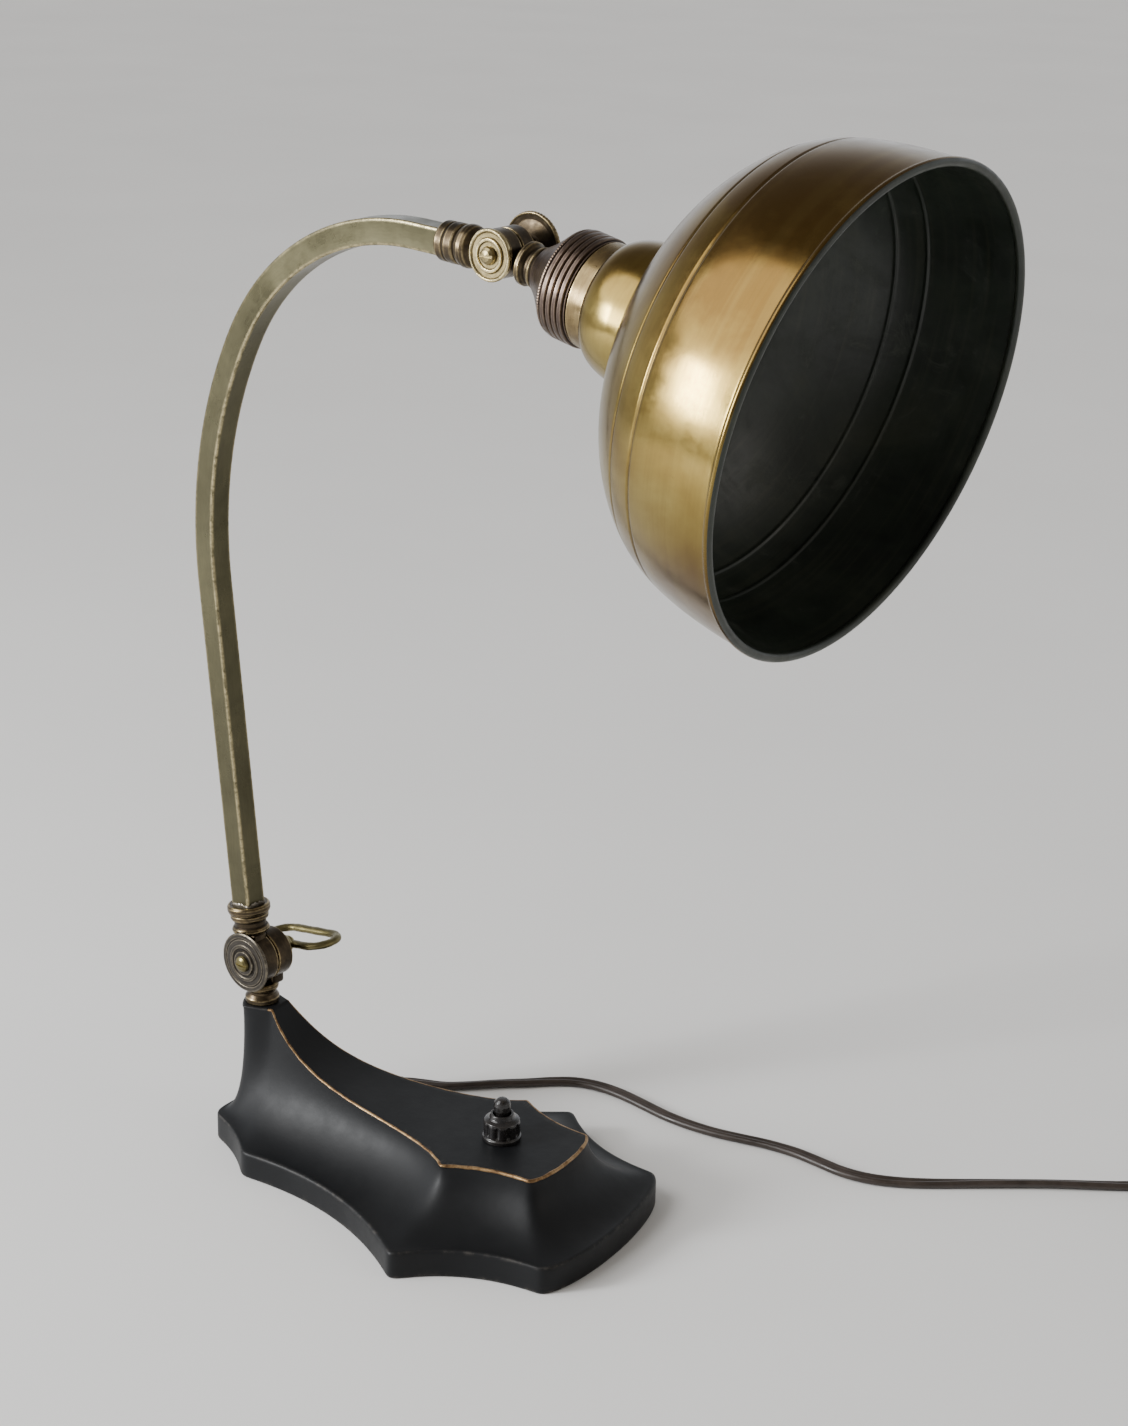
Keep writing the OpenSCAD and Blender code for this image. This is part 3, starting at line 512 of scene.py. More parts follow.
def enamel():
    s = Shader("black_enamel")
    broad = s.noise(s.mm, 0.035, 4.0, 0.5)
    fine = s.noise(s.mm, 0.9, 6.0, 0.6)
    orange = s.noise(s.mm, 0.28, 3.0, 0.5)
    colour = s.tones(broad, [(0.3, (0.005, 0.0055, 0.0065)), (0.7, (0.0095, 0.01, 0.011))])
    rubbed = s.math("MULTIPLY", s.wear, s.steps(s.noise(s.mm, 0.22, 6.0, 0.7), 0.45, 0.68, 0.05, 0.75))
    colour = s.mix(rubbed, colour, (0.075, 0.068, 0.06))
    dust = s.steps(s.noise(s.mm, 2.6, 8.0, 0.75), 0.64, 0.74, 0.0, 0.22)
    colour = s.mix(dust, colour, (0.09, 0.085, 0.075))
    rough = s.steps(s.noise(s.mm, 0.12, 5.0, 0.6), 0.3, 0.7, 0.44, 0.5)
    rough = s.math("ADD", rough, s.math("MULTIPLY", dust, 0.5), clamp=True)
    normal = s.bump(orange, 0.07, 0.7)
    normal = s.bump(fine, 0.02, 0.6, normal)
    return s.finish(colour, rough, normal, 0.0, Specular_IOR_Level=0.2)


def gilt():
    s = Shader("gilt_line")
    rub = s.noise(s.mm, 0.16, 6.0, 0.7, 0.5)
    fine = s.noise(s.mm, 1.5, 6.0, 0.7)
    colour = s.tones(rub, [(0.34, (0.06, 0.036, 0.02)), (0.45, (0.20, 0.115, 0.052)),
                           (0.58, (0.36, 0.235, 0.115)), (0.7, (0.42, 0.28, 0.18))])
    colour = s.mix(s.steps(fine, 0.56, 0.68, 0.0, 0.75), colour, (0.05, 0.035, 0.02))
    rough = s.steps(fine, 0.3, 0.7, 0.32, 0.6)
    return s.finish(colour, rough, s.bump(fine, 0.02), 0.8)


def painted_bowl():
    s = Shader("shade_paint")
    clouds = s.noise(s.mm, 0.03, 6.0, 0.65, 0.7)
    smudge = s.noise(s.mm, 0.055, 7.0, 0.7, 1.3)
    rings = s.noise(s.grain, 0.55, 3.0, 0.5)
    fine = s.noise(s.mm, 0.8, 8.0, 0.7)
    colour = s.tones(clouds, [(0.3, (0.010, 0.013, 0.010)), (0.55, (0.020, 0.026, 0.019)),
                              (0.72, (0.033, 0.038, 0.026))])
    colour = s.mix(s.steps(smudge, 0.57, 0.72, 0.0, 0.5), colour, (0.07, 0.078, 0.062))
    colour = s.mix(s.steps(rings, 0.5, 0.7, 0.0, 0.3), colour, (0.045, 0.047, 0.032))
    chips = s.math("MULTIPLY", s.wear, s.steps(s.noise(s.mm, 0.3, 7.0, 0.75), 0.56, 0.64, 0.0, 1.0))
    colour = s.mix(chips, colour, (0.26, 0.17, 0.09))
    scratch = s.steps(s.noise(s.scaled(s.mm, (0.35, 0.05, 0.2)), 1.6, 9.0, 0.8, 1.0), 0.64, 0.7, 0.0, 0.3)
    colour = s.mix(scratch, colour, (0.09, 0.09, 0.065))
    rough = s.steps(smudge, 0.35, 0.7, 0.34, 0.52)
    normal = s.bump(rings, 0.03, 0.7)
    normal = s.bump(fine, 0.015, 0.7, normal)
    return s.finish(colour, rough, normal, 0.0, Specular_IOR_Level=0.45)


def bakelite():
    s = Shader("black_bakelite")
    swirl = s.noise(s.mm, 0.2, 5.0, 0.6, 1.5)
    fine = s.noise(s.mm, 1.6, 6.0, 0.7)
    colour = s.tones(swirl, [(0.3, (0.006, 0.006, 0.007)), (0.7, (0.016, 0.014, 0.013))])
    colour = s.mix(s.math("MULTIPLY", s.wear, 0.25), colour, (0.05, 0.045, 0.04))
    rough = s.steps(fine, 0.35, 0.7, 0.13, 0.3)
    return s.finish(colour, rough, s.bump(fine, 0.008, 0.5), 0.0, Specular_IOR_Level=0.6)


def flex():
    s = Shader("brown_cord")
    along = s.noise(s.grain, 2.4, 4.0, 0.6)
    mottled = s.noise(s.mm, 0.12, 5.0, 0.6)
    fine = s.noise(s.mm, 2.0, 6.0, 0.7)
    colour = s.tones(mottled, [(0.3, (0.020, 0.014, 0.011)), (0.7, (0.042, 0.030, 0.024))])
    colour = s.mix(s.steps(along, 0.5, 0.75, 0.0, 0.4), colour, (0.07, 0.05, 0.04))
    dust = s.steps(fine, 0.6, 0.75, 0.0, 0.25)
    colour = s.mix(dust, colour, (0.16, 0.13, 0.11))
    rough = s.steps(mottled, 0.3, 0.7, 0.3, 0.45)
    normal = s.bump(along, 0.03, 0.7)
    normal = s.bump(fine, 0.02, 0.6, normal)
    return s.finish(colour, rough, normal, 0.0, Specular_IOR_Level=0.5)


def soft_solid(name, low, high, scale, rough, depth, sheen=0.0):
    """Plain matter with its own mottling: felt, fibre, porcelain, rubber."""
    s = Shader(name)
    broad = s.noise(s.mm, scale * 0.15, 5.0, 0.6)
    fine = s.noise(s.mm, scale, 8.0, 0.7)
    colour = s.tones(broad, [(0.3, low), (0.7, high)])
    colour = s.mix(s.steps(fine, 0.5, 0.75, 0.0, 0.4), colour, low)
    value = s.steps(fine, 0.3, 0.7, rough[0], rough[1])
    return s.finish(colour, value, s.bump(fine, depth), Sheen_Weight=sheen)


METALS = {  # low, middle and high tone, grime, rubbed edge, and how it differs from the rule
    "aged_arm_brass": ((0.055, 0.05, 0.028), (0.085, 0.078, 0.045), (0.122, 0.112, 0.064),
        (0.045, 0.038, 0.024), (0.46, 0.39, 0.22),
        dict(rough=(0.25, 0.36), cloud=0.02, lines=1.6, line_depth=0.008, spots=0.35, bands=0.2)),
    # shade_brass: its shape adds painted reflection, browner over the top and at the bottom of the bowl
    "shade_brass": ((0.125, 0.074, 0.021), (0.215, 0.15, 0.042), (0.31, 0.24, 0.078),
        (0.085, 0.055, 0.022), (0.52, 0.41, 0.19),
        dict(rough=(0.15, 0.25), cloud=0.022, lines=1.3, line_depth=0.005, spots=0.25, bands=0.12,
             shape=bowl_painted_reflection)),
    "shell_brass": ((0.13, 0.09, 0.042), (0.22, 0.16, 0.075), (0.32, 0.24, 0.12), (0.06, 0.042, 0.024),
        (0.55, 0.43, 0.22), dict(rough=(0.24, 0.38), cloud=0.06, lines=1.8, spots=0.4)),
    "purple_bronze": ((0.05, 0.034, 0.029), (0.08, 0.057, 0.048), (0.125, 0.092, 0.075),
        (0.016, 0.011, 0.01), (0.27, 0.205, 0.15),
        dict(rough=(0.30, 0.46), cloud=0.09, lines=2.4, wear_gain=0.45)),
    "dark_bronze": ((0.034, 0.026, 0.018), (0.066, 0.05, 0.032), (0.125, 0.092, 0.052),
        (0.014, 0.011, 0.009), (0.4, 0.31, 0.16),
        dict(rough=(0.28, 0.46), cloud=0.11, lines=2.4, wear_gain=0.95)),
    "gunmetal_bronze": ((0.038, 0.034, 0.03), (0.058, 0.052, 0.045), (0.092, 0.082, 0.07),
        (0.014, 0.012, 0.01), (0.22, 0.19, 0.14),
        dict(rough=(0.30, 0.44), cloud=0.1, lines=2.8, line_depth=0.01)),
    "bright_brass": ((0.16, 0.125, 0.06), (0.26, 0.21, 0.105), (0.38, 0.31, 0.165), (0.045, 0.033, 0.018),
        (0.62, 0.52, 0.29), dict(rough=(0.24, 0.38), cloud=0.12, lines=2.8, line_depth=0.01)),
    "tarnished_brass": ((0.1, 0.083, 0.034), (0.165, 0.14, 0.062), (0.25, 0.215, 0.105),
        (0.035, 0.03, 0.015), (0.45, 0.39, 0.2),
        dict(rough=(0.32, 0.48), cloud=0.12, lines=1.4, spots=0.6)),
    "plain_brass": ((0.46, 0.33, 0.14), (0.58, 0.43, 0.2), (0.66, 0.52, 0.27), (0.16, 0.1, 0.05),
        (0.8, 0.68, 0.4), dict(rough=(0.22, 0.36))),
    "blued_steel": ((0.05, 0.055, 0.07), (0.08, 0.085, 0.1), (0.12, 0.125, 0.14), (0.03, 0.028, 0.03),
        (0.35, 0.34, 0.33), dict(rough=(0.3, 0.45))),
    "zinc_steel": ((0.36, 0.36, 0.37), (0.46, 0.46, 0.47), (0.56, 0.56, 0.56), (0.15, 0.14, 0.13),
        (0.75, 0.75, 0.75), dict(rough=(0.32, 0.5))),
    "solder": ((0.1, 0.085, 0.065), (0.19, 0.17, 0.14), (0.34, 0.31, 0.26), (0.03, 0.024, 0.018),
        (0.5, 0.48, 0.42), dict(rough=(0.3, 0.55), cloud=0.5)),
}
MATTER = {  # low and high tone, scale of the mottling, roughness from and to, depth
    "green_felt": ((0.012, 0.035, 0.018), (0.025, 0.06, 0.032), 1.4, (0.85, 1.0), 0.25, dict(sheen=0.4)),
    "brown_fibre": ((0.05, 0.028, 0.012), (0.11, 0.062, 0.028), 1.2, (0.55, 0.75), 0.05, {}),
    "glazed_porcelain": ((0.55, 0.51, 0.43), (0.68, 0.64, 0.56), 0.5, (0.12, 0.25), 0.01, {}),
    "wire_insulation": ((0.05, 0.022, 0.014), (0.09, 0.045, 0.03), 1.0, (0.45, 0.6), 0.03, {}),
    "linen_tie": ((0.3, 0.25, 0.17), (0.46, 0.4, 0.3), 3.0, (0.75, 0.95), 0.12, dict(sheen=0.3)),
}


def make_looks():
    looks = {"black_enamel": enamel(), "gilt_line": gilt(), "shade_paint": painted_bowl(),
             "black_bakelite": bakelite(), "brown_cord": flex()}
    looks.update({name: metal(name, *tones, **rest) for name, (*tones, rest) in METALS.items()})
    looks.update({name: soft_solid(name, *values, **rest) for name, (*values, rest) in MATTER.items()})
    return looks


LOOKS = make_looks()


# ---------------------------------------------------------------- cord


def catmull(points, per):
    """A smooth line through points, per steps to each stretch."""
    p = np.array(points, float)
    p = np.vstack([2 * p[0] - p[1], p, 2 * p[-1] - p[-2]])
    out = []
    for i in range(1, len(p) - 2):
        for k in range(per):
            t = k / per
            out.append(0.5 * (2 * p[i] + (p[i + 1] - p[i - 1]) * t
                              + (2 * p[i - 1] - 5 * p[i] + 4 * p[i + 1] - p[i + 2]) * t * t
                              + (3 * p[i] - p[i - 1] - 3 * p[i + 1] + p[i + 2]) * t ** 3))
    out.append(p[-2])
    return np.array(out)


ROUTE = [[BUSHING_X, 42, 5.6], [BUSHING_X, 46, 5.5], [-60.5, 52, 3.6], [-58, 58, 1.7],
         [-52.5, 62.5, 1.5], [-45, 65.5, 1.5], [-36, 69, 1.5], [-27, 76, 1.5], [-18, 84, 1.5],
         [-8, 92, 1.5], [0, 99, 1.5], [9, 104.5, 1.5], [20, 107, 1.5], [32, 106.5, 1.5],
         [45, 104, 1.5], [57, 101.5, 1.5], [69, 100.5, 1.5], [82, 101, 1.5], [94, 103, 1.5],
         [106, 105, 1.5], [119, 105.5, 1.5], [131, 104, 1.5], [143, 102.5, 1.5], [155, 104, 1.5],
         [167, 109, 1.5], [179, 116.5, 1.5], [191, 124.5, 1.5], [203, 132.5, 1.5],
         [215, 140.5, 1.5], [227, 148, 1.5], [240, 156, 1.6], [253, 164.5, 1.8],
         [265.5, 174.2, 2.2], [276, 184.4, 2.6], [282.6, 191.3, 2.6]]
TAIL = [[342.3, 164.1, 7.2], [342.2, 153, 4.6], [341.4, 142, 3.2], [340, 131.5, 4.6],
        [338.8, 121, 6.8]]


def coil_points():
    """Two layers of turns, inwards below and outwards on top, every 7.5 degrees."""
    first, turns = 137.5, 2 * LAYER_TURNS
    outer = COIL_R + LAYER_TURNS * TURN_PITCH / 2
    steps = int(turns * 48)
    points = []
    for i in range(1, steps):
        t = turns * i / steps
        r = outer - TURN_PITCH * min(t, turns - t)
        rise = min(1.0, max(0.0, (t - LAYER_TURNS) * 6 + 0.5))
        rise = rise * rise * (3 - 2 * rise)
        a = first - 360 * t
        points.append([COIL_C[0] + r * cosd(a), COIL_C[1] + r * sind(a),
                       CORD_W / 2 + CORD_W * rise])
    return points


def twin_section():
    """Two round cores side by side with a groove between them."""
    lobe, apart = CORD_T / 2, (CORD_W - CORD_T) / 2
    limit = math.degrees(math.acos(-apart / lobe))
    right = [(apart + lobe * cosd(a), lobe * sind(a)) for a in np.linspace(-limit, limit, 11)]
    left = [(-x, -y) for x, y in right]
    return np.array(right[:-1] + left[:-1])


def cord_roll(run, total, coil_start, coil_end):
    """Roll of the flat cord in degrees: flat on the table with a lazy twist, on its edge in the coil."""
    if run < coil_start:
        edge = max(0.0, 1 - (coil_start - run) / 45)
        lazy = 24 * math.sin(run / 29.0) * math.sin(run / 71.0 + 0.6) * min(1.0, run / 60)
        smooth = edge * edge * (3 - 2 * edge)
        return lazy * (1 - smooth) + 90 * smooth
    if run > coil_end:
        edge = min(1.0, (run - coil_end) / (total - coil_end))
        return 90 * (1 - edge * edge * (3 - 2 * edge))
    return 90.0


def make_cord():
    start = catmull(ROUTE, 4)
    coil = np.array(coil_points())
    end = catmull([coil[-1].tolist()] + TAIL, 4)[4:]
    line = np.vstack([start, coil, end])
    run = along_run(line)
    total = run[-1]
    coil_start, coil_end = run[len(start) - 1], run[len(start) + len(coil)]
    head = unit(np.gradient(line, axis=0))
    flat = unit(np.cross(head, (0, 0, 1)))
    over = np.cross(flat, head)
    rolls = [cord_roll(r, total, coil_start, coil_end) for r in run]
    sides, ups = [], []
    for i, roll in enumerate(rolls):
        c, s = cosd(roll), sind(roll)
        sides.append(flat[i] * c + over[i] * s)
        ups.append(over[i] * c - flat[i] * s)
        if run[i] < coil_start:
            room = CORD_T / 2 + (CORD_W - CORD_T) / 2 * abs(s) + 0.02
            line[i][2] = max(line[i][2], room)
    b = Build()
    b.sweep(line, sides, ups, twin_section(), run=run)
    cord = b.make("cord", "brown_cord", "base", stands_for=("cord_run", "cord_coil"), sharp=70)

    relief = Build()
    n = int(np.sum(run <= RELIEF_L))
    centres, sections = line[:n].copy(), []
    for c, length in zip(centres, run):
        t = length / RELIEF_L
        grow = 1.2 * (1 - t) + 0.25
        ring = 0.18 * (0.5 + 0.5 * math.cos(length * 2.6)) * (1 - t)
        section = [(math.copysign(abs(cosd(a)) ** 0.8, cosd(a)) * (CORD_W / 2 + grow - ring),
                    sind(a) * (CORD_T / 2 + grow - ring)) for a in range(0, 360, 18)]
        sections.append(np.array(section))
        c[2] = max(c[2], sections[-1][:, 1].max() + 0.03)
    relief.sweep(centres, sides[:n], ups[:n], sections)
    sleeve = relief.make("strain_relief", "black_bakelite", "base", sharp=60)

    tie = make_tie()
    plug = make_plug()


def make_tie():
    """A linen tie once round the coil, with its twisted ends."""
    half = LAYER_TURNS * TURN_PITCH / 2 + CORD_T / 2
    wide, tall = half + 0.35, CORD_W
    angle = 232
    out = np.array([cosd(angle), sind(angle), 0])
    along = np.array([-sind(angle), cosd(angle), 0])
    middle = np.array([COIL_C[0], COIL_C[1], 0]) + out * COIL_R
    loop = np.array([middle + out * x + np.array([0, 0, tall + z])
                     for x, z in superellipse(wide, tall - 0.2, 0.45, 9)])
    b = Build()
    normals = unit(loop - middle - np.array([0, 0, tall]))
    band = np.array([(-2.0, -0.15), (-1.9, 0.1), (0, 0.18), (1.9, 0.1), (2.0, -0.15)])
    b.sweep(loop, [along] * len(loop), normals, band, closed=True)
    knot = middle + out * 2.5 + np.array([0, 0, 2 * tall - 0.9])
    for side, bend in ((1, 3.0), (-1, -2.0)):
        ends = catmull([knot, knot + along * side * 3 + np.array([0, 0, -0.1]),
                        knot + along * side * 6 + out * bend * 0.6 + np.array([0, 0, -0.2]),
                        knot + along * side * 9 + out * bend + np.array([0, 0, -0.3])], 5)
        head = unit(np.gradient(ends, axis=0))
        flat = np.cross(head, (0, 0, 1))
        b.sweep(ends, flat, np.cross(flat, head), np.array([(-1.2, 0), (0, 0.25), (1.2, 0), (0, -0.2)]))
    ring = [(0.9 * cosd(a), 0.75 * sind(a)) for a in range(0, 360, 30)]
    around = [knot + along * 1.3 * cosd(a) + out * 1.5 * sind(a) for a in range(0, 360, 30)]
    radial = [along * cosd(a) + out * sind(a) for a in range(0, 360, 30)]
    b.sweep(np.array(around) - np.array([0, 0, 0.1]), radial, [np.array([0, 0, 1.0])] * 12,
            np.array(ring) * 0.8, closed=True)
    return b.make("coil_tie", "linen_tie", "base", sharp=50)


def make_plug():
    at = shift(PLUG_AT[0], PLUG_AT[1], PLUG_Z) @ turn("X", 90)
    b = Build()
    b.lathe([(0, -2), (3.3, -2), (3.5, -0.6), (3.2, 0.2), (3.9, 1.8), (3.5, 2.6), (4.2, 4.2),
             (3.9, 5), (4.5, 6.6), (4.5, 8), (0, 8)], at=at, radius=0.4, segs=48)
    rows = [(6.4, 5.6, 4.2), (7.2, 6.4, 5.0), (9, 7.9, 6.1), (12, 8.8, 6.8), (18, 8.9, 6.9),
            (26, 8.9, 6.9), (29.2, 8.8, 6.8), (29.8, 8.5, 6.5), (30, 8.0, 6.0)]
    fine = catmull(rows, 4)
    rings = []
    for z, half_x, half_y in fine:
        grip = 0.28 * max(0.0, math.cos((z - 12) * 2.1)) if 11 < z < 25 else 0.0
        rings.append(superellipse(half_x - grip, half_y - grip, 0.55, 10))
    centres = [(0, 0, z) for z in fine[:, 0]]
    n = len(centres)
    b.sweep(centres, [(1, 0, 0)] * n, [(0, 1, 0)] * n, rings, at=at)
    return b.make("plug_shell", "black_bakelite", "base", stands_for=("plug_body",), sharp=48)


# ---------------------------------------------------------------- base


def bowed(a, b, sag, n):
    a, b = np.array(a, float), np.array(b, float)
    d = (b - a) / np.linalg.norm(b - a)
    side = np.array([-d[1], d[0]])
    return [a + (b - a) * t + side * sag * 4 * t * (1 - t) for t in np.arange(n) / n]


def bezier(a, b, c, d, t):
    a, b, c, d = (np.array(v, float) for v in (a, b, c, d))
    return a * (1 - t) ** 3 + 3 * b * t * (1 - t) ** 2 + 3 * c * t * t * (1 - t) + d * t ** 3


def nose(b, x, n):
    return [np.array([b[0] + (x - b[0]) * sind(90 * i / n), b[1] * cosd(90 * i / n)])
            for i in range(n + 1)]


HALF_STEPS = (10, 22, 84, 42, 34)
CORNER_F, CORNER_E = (REAR_X, 19.8), (REAR_X + 30.5, 39.8)
CORNER_A, CORNER_B = (REAR_X + 126, WING_HALF), (NOSE_X - 11, 43.6)
NECK_REAR, NECK_FRONT = (NECK_X - 3, 9.5), (NECK_X + 9.5, 5.8)
RIDGE_A, RIDGE_B = (NECK_X + 113.6, 32.2), (NECK_X + 148, 22)
RIDGE_NOSE, RIDGE_DECAY = NECK_X + 154, 21
COVE_FOOT = 0.08


def whole(half):
    """The half outline and its mirror image as one loop, rear point first."""
    half = np.array(half)
    return np.vstack([half, (half * (1, -1))[-2:0:-1]])


def soften(loop, rounds):
    for _ in range(rounds):
        loop = loop + 0.5 * ((np.roll(loop, 1, 0) + np.roll(loop, -1, 0)) / 2 - loop)
    return loop


def base_lines():
    n = HALF_STEPS
    outline = (bowed((REAR_X + 1.8, 0), CORNER_F, 0.6, n[0]) + bowed(CORNER_F, CORNER_E, -2.4, n[1])
               + bowed(CORNER_E, CORNER_A, -9.8, n[2]) + bowed(CORNER_A, CORNER_B, -6.3, n[3])
               + nose(CORNER_B, NOSE_X, n[4]))
    ridge = (bowed((NECK_X - 8.5, 0), NECK_REAR, 0.8, n[0]) + bowed(NECK_REAR, NECK_FRONT, 0.3, n[1])
             + [bezier(NECK_FRONT, (NECK_X + 25, 14), (NECK_X + 95, 14), RIDGE_A, t)
                for t in np.arange(n[2]) / n[2]]
             + bowed(RIDGE_A, RIDGE_B, -2.8, n[3]) + nose(RIDGE_B, RIDGE_NOSE, n[4]))
    return soften(whole(outline), 6), soften(whole(ridge), 2)


def ridge_height(x):
    over = np.maximum(0, x - NECK_FRONT[0])
    return TOP_H + (NECK_H - TOP_H) * np.exp(-over / RIDGE_DECAY)


ARRIS = 0.8


class Casting:
    """Answers for the casting's surface: rings from the rim to the ridge, and the top inside it."""

    def __init__(self):
        self.outline, self.ridge = base_lines()
        self.height = ridge_height(self.ridge[:, 0])
        ahead = np.roll(self.ridge, -1, 0) - np.roll(self.ridge, 1, 0)
        normal = unit(np.column_stack([-ahead[:, 1], ahead[:, 0]]))
        away = np.sum(normal * (self.ridge - self.ridge.mean(0)))
        self.normal = normal if away >= 0 else -normal
        share = (self.height - TOP_H) / (NECK_H - TOP_H)
        self.power = 0.62 + (0.52 - 0.62) * share

    def flat(self, share, z):
        p = self.outline + (self.ridge - self.outline) * share
        return np.column_stack([p, np.full(len(p), z)])

    def at_height(self, up):
        """The cove where it has risen by a share of its height, one share for each point."""
        a = np.arcsin(np.clip(up, 0, 1) ** (self.power / 2))
        out = np.cos(a) ** (2 / self.power)
        p = self.outline + (self.ridge - self.outline) * (1 - (1 - COVE_FOOT) * out)[:, None]
        return np.column_stack([p, RIM_H + (self.height - ARRIS - RIM_H) * up])

    def cove(self, degrees):
        return self.at_height(sind(degrees) ** (2 / self.power))

    def over(self, run):
        """Points that are run mm past the top of the cove: round the arris, then in over the top."""
        turn_run = ARRIS * math.pi / 2
        run = np.broadcast_to(run, len(self.ridge)).astype(float)
        angle = np.clip(run / ARRIS, 0, math.pi / 2)
        inward = ARRIS * (1 - np.cos(angle)) + np.maximum(0, run - turn_run)
        plan = self.ridge - self.normal * inward[:, None]
        z = ridge_height(plan[:, 0]) - ARRIS * (1 - np.sin(angle))
        facing = np.column_stack([self.normal * np.cos(angle)[:, None], np.sin(angle)])
        return np.column_stack([plan, z]), facing

    def below(self, drop):
        """Points drop mm below the top of the cove."""
        tall = self.height - ARRIS - RIM_H
        return (self.at_height(1 - np.asarray(drop) / tall),
                np.column_stack([self.normal, np.zeros(len(self.ridge))]))


def calmed(ring, share):
    """A ring of points with its corners drawn round by a share."""
    weights = np.exp(-(np.arange(-12, 13) / 6.0) ** 2)
    calm = sum(w * np.roll(ring, k, axis=0) for w, k in zip(weights, range(-12, 13))) / weights.sum()
    return ring + (calm - ring) * share


def make_casting():
    c = Casting()
    rings, wear = [], []

    def ring(points, worn=0.0):
        rings.append(points)
        wear.append(np.broadcast_to(worn, len(points)))

    for share, z in ((0.2, 8), (0.2, 0.5), (0.19, 0.15), (0.17, 0.0), (0.03, 0.0)):
        ring(c.flat(share, z))
    for share, z, worn in ((0.008, 0.15, 0.6), (0.0, 0.7, 0.9), (0.0, 1.4, 0.2), (0.0, 3.5, 0.0),
                           (0.0, 6, 0.0), (0.0, RIM_H - 3.2, 0.0)):
        ring(c.flat(share, z), worn)
    for i in range(1, 11):
        t = i / 10
        share, z = bezier((0, RIM_H - 3), (0.0, RIM_H - 0.5), (0.012, RIM_H), (COVE_FOOT, RIM_H), t)
        ring(c.flat(share, z), 0.8 * max(0.0, 1 - abs(t - 0.55) / 0.3))
    for i in range(1, COVE_RINGS + 1):
        ring(calmed(c.cove(90 * i / COVE_RINGS), math.sin(math.pi * i / COVE_RINGS) ** 0.6))
    for i in range(1, 6):
        ring(c.over(ARRIS * math.pi / 2 * i / 5)[0], 0.6)
    n = len(c.ridge)
    b = Build()
    b.add(np.vstack(rings), grid_faces(len(rings), n) + [tuple(range(n - 1, -1, -1))],
          np.concatenate(wear))
    half = n // 2
    top = [(x, y * (1 - 2 * k / TOP_COLUMNS), z) for x, y, z in rings[-1][:half + 1]
           for k in range(TOP_COLUMNS + 1)]
    b.add(top, flipped(grid_faces(half + 1, TOP_COLUMNS + 1, wrap=False)))
    casting = b.make("casting", "black_enamel", "base", stands_for=("base_casting",), sharp=60)
    face_outward(casting)
    make_gilt_line(c)


def make_gilt_line(c):
    """The hand-drawn line along the ridge, round the front from one side of the neck to the other."""
    rng = random.Random(41)
    n = len(c.ridge)
    run = along_run(c.ridge)
    waves = [(rng.uniform(0.05, 0.9), rng.uniform(0, 6.28), rng.uniform(0.5, 1)) for _ in range(9)]
    shake = sum(w * np.sin(run * f + p) for f, p, w in waves) / 9
    other = sum(w * np.sin(run * f * 1.3 + 2.2 * p) for f, p, w in waves) / 9
    front = np.clip((c.ridge[:, 0] - RIDGE_A[0] + 6) / 14, 0, 1)
    inner = ARRIS * 1.57 + 0.1 + 0.2 * front + 0.4 * shake
    outer = 0.2 - 0.45 * front + 0.35 * other
    rows = []
    for t in (0.0, 0.06, 0.2, 0.35, 0.5, 0.65, 0.8, 0.94, 1.0):
        place = outer + (inner - outer) * t
        over, facing = c.over(np.maximum(place, 0))
        under, side = c.below(np.maximum(-place, 0))
        low = place < 0
        point = np.where(low[:, None], under, over)
        face = np.where(low[:, None], side, facing)
        lift = -0.04 if t in (0.0, 1.0) else 0.05
        rows.append(point + face * lift)
    first = HALF_STEPS[0] + HALF_STEPS[1] - 3
    keep = list(range(first, n - first + 1))
    b = Build()
    b.add(np.vstack([r[keep] for r in rows]), grid_faces(len(rows), len(keep), wrap=False))
    line = b.make("ridge_line", "gilt_line", "base", sharp=80)
    face_outward(line)


def make_switch():
    at = shift(SWITCH_X, 0, TOP_H + 0.2)
    flutes = 10

    def fluted(r, z, a):
        if r < 6.9 or not 2.3 < z < 8.2:
            return 0.0
        depth = 0.62 * min(1.0, (z - 2.3) / 0.8, max(0.0, (8.2 - z) / 0.9))
        dip = np.abs(np.cos(a * flutes / 2)) ** 6
        return -depth * dip

    profile = [(3.8, 7), (3.8, 0), (7.7, 0), (7.9, 0.4), (7.9, 1.6), (7.3, 2.1), (7.3, 2.4), (7.5, 2.9),
               (7.5, 4.5), (7.5, 6), (7.5, 7.6), (7.1, 8.6), (5.6, 9.3), (5.1, 9.8), (4.7, 11.2),
               (4.5, 11.4), (3.8, 11.4)]
    turned("switch_collar", "black_bakelite", "base", profile, at, ("switch_nut",), 50, radius=0.3,
           segs=240, wobble=fluted)
    knob = ((0, 22), (3.5, 22), (3.5, 23.6), (2.6, 23.6), (2.6, 44.8), (3.0, 44.8), (3.45, 46),
            (3.5, 48.2), (3.1, 49.8), (2.0, 50.8), (0, 51))
    turned("switch_knob", "black_bakelite", "switch_button", [(r, z - TOP_H) for r, z in knob],
           shift(SWITCH_X, 0, TOP_H), ("switch_button",), 50, radius=0.6, steps=6, segs=72)


# ---------------------------------------------------------------- joints and arm


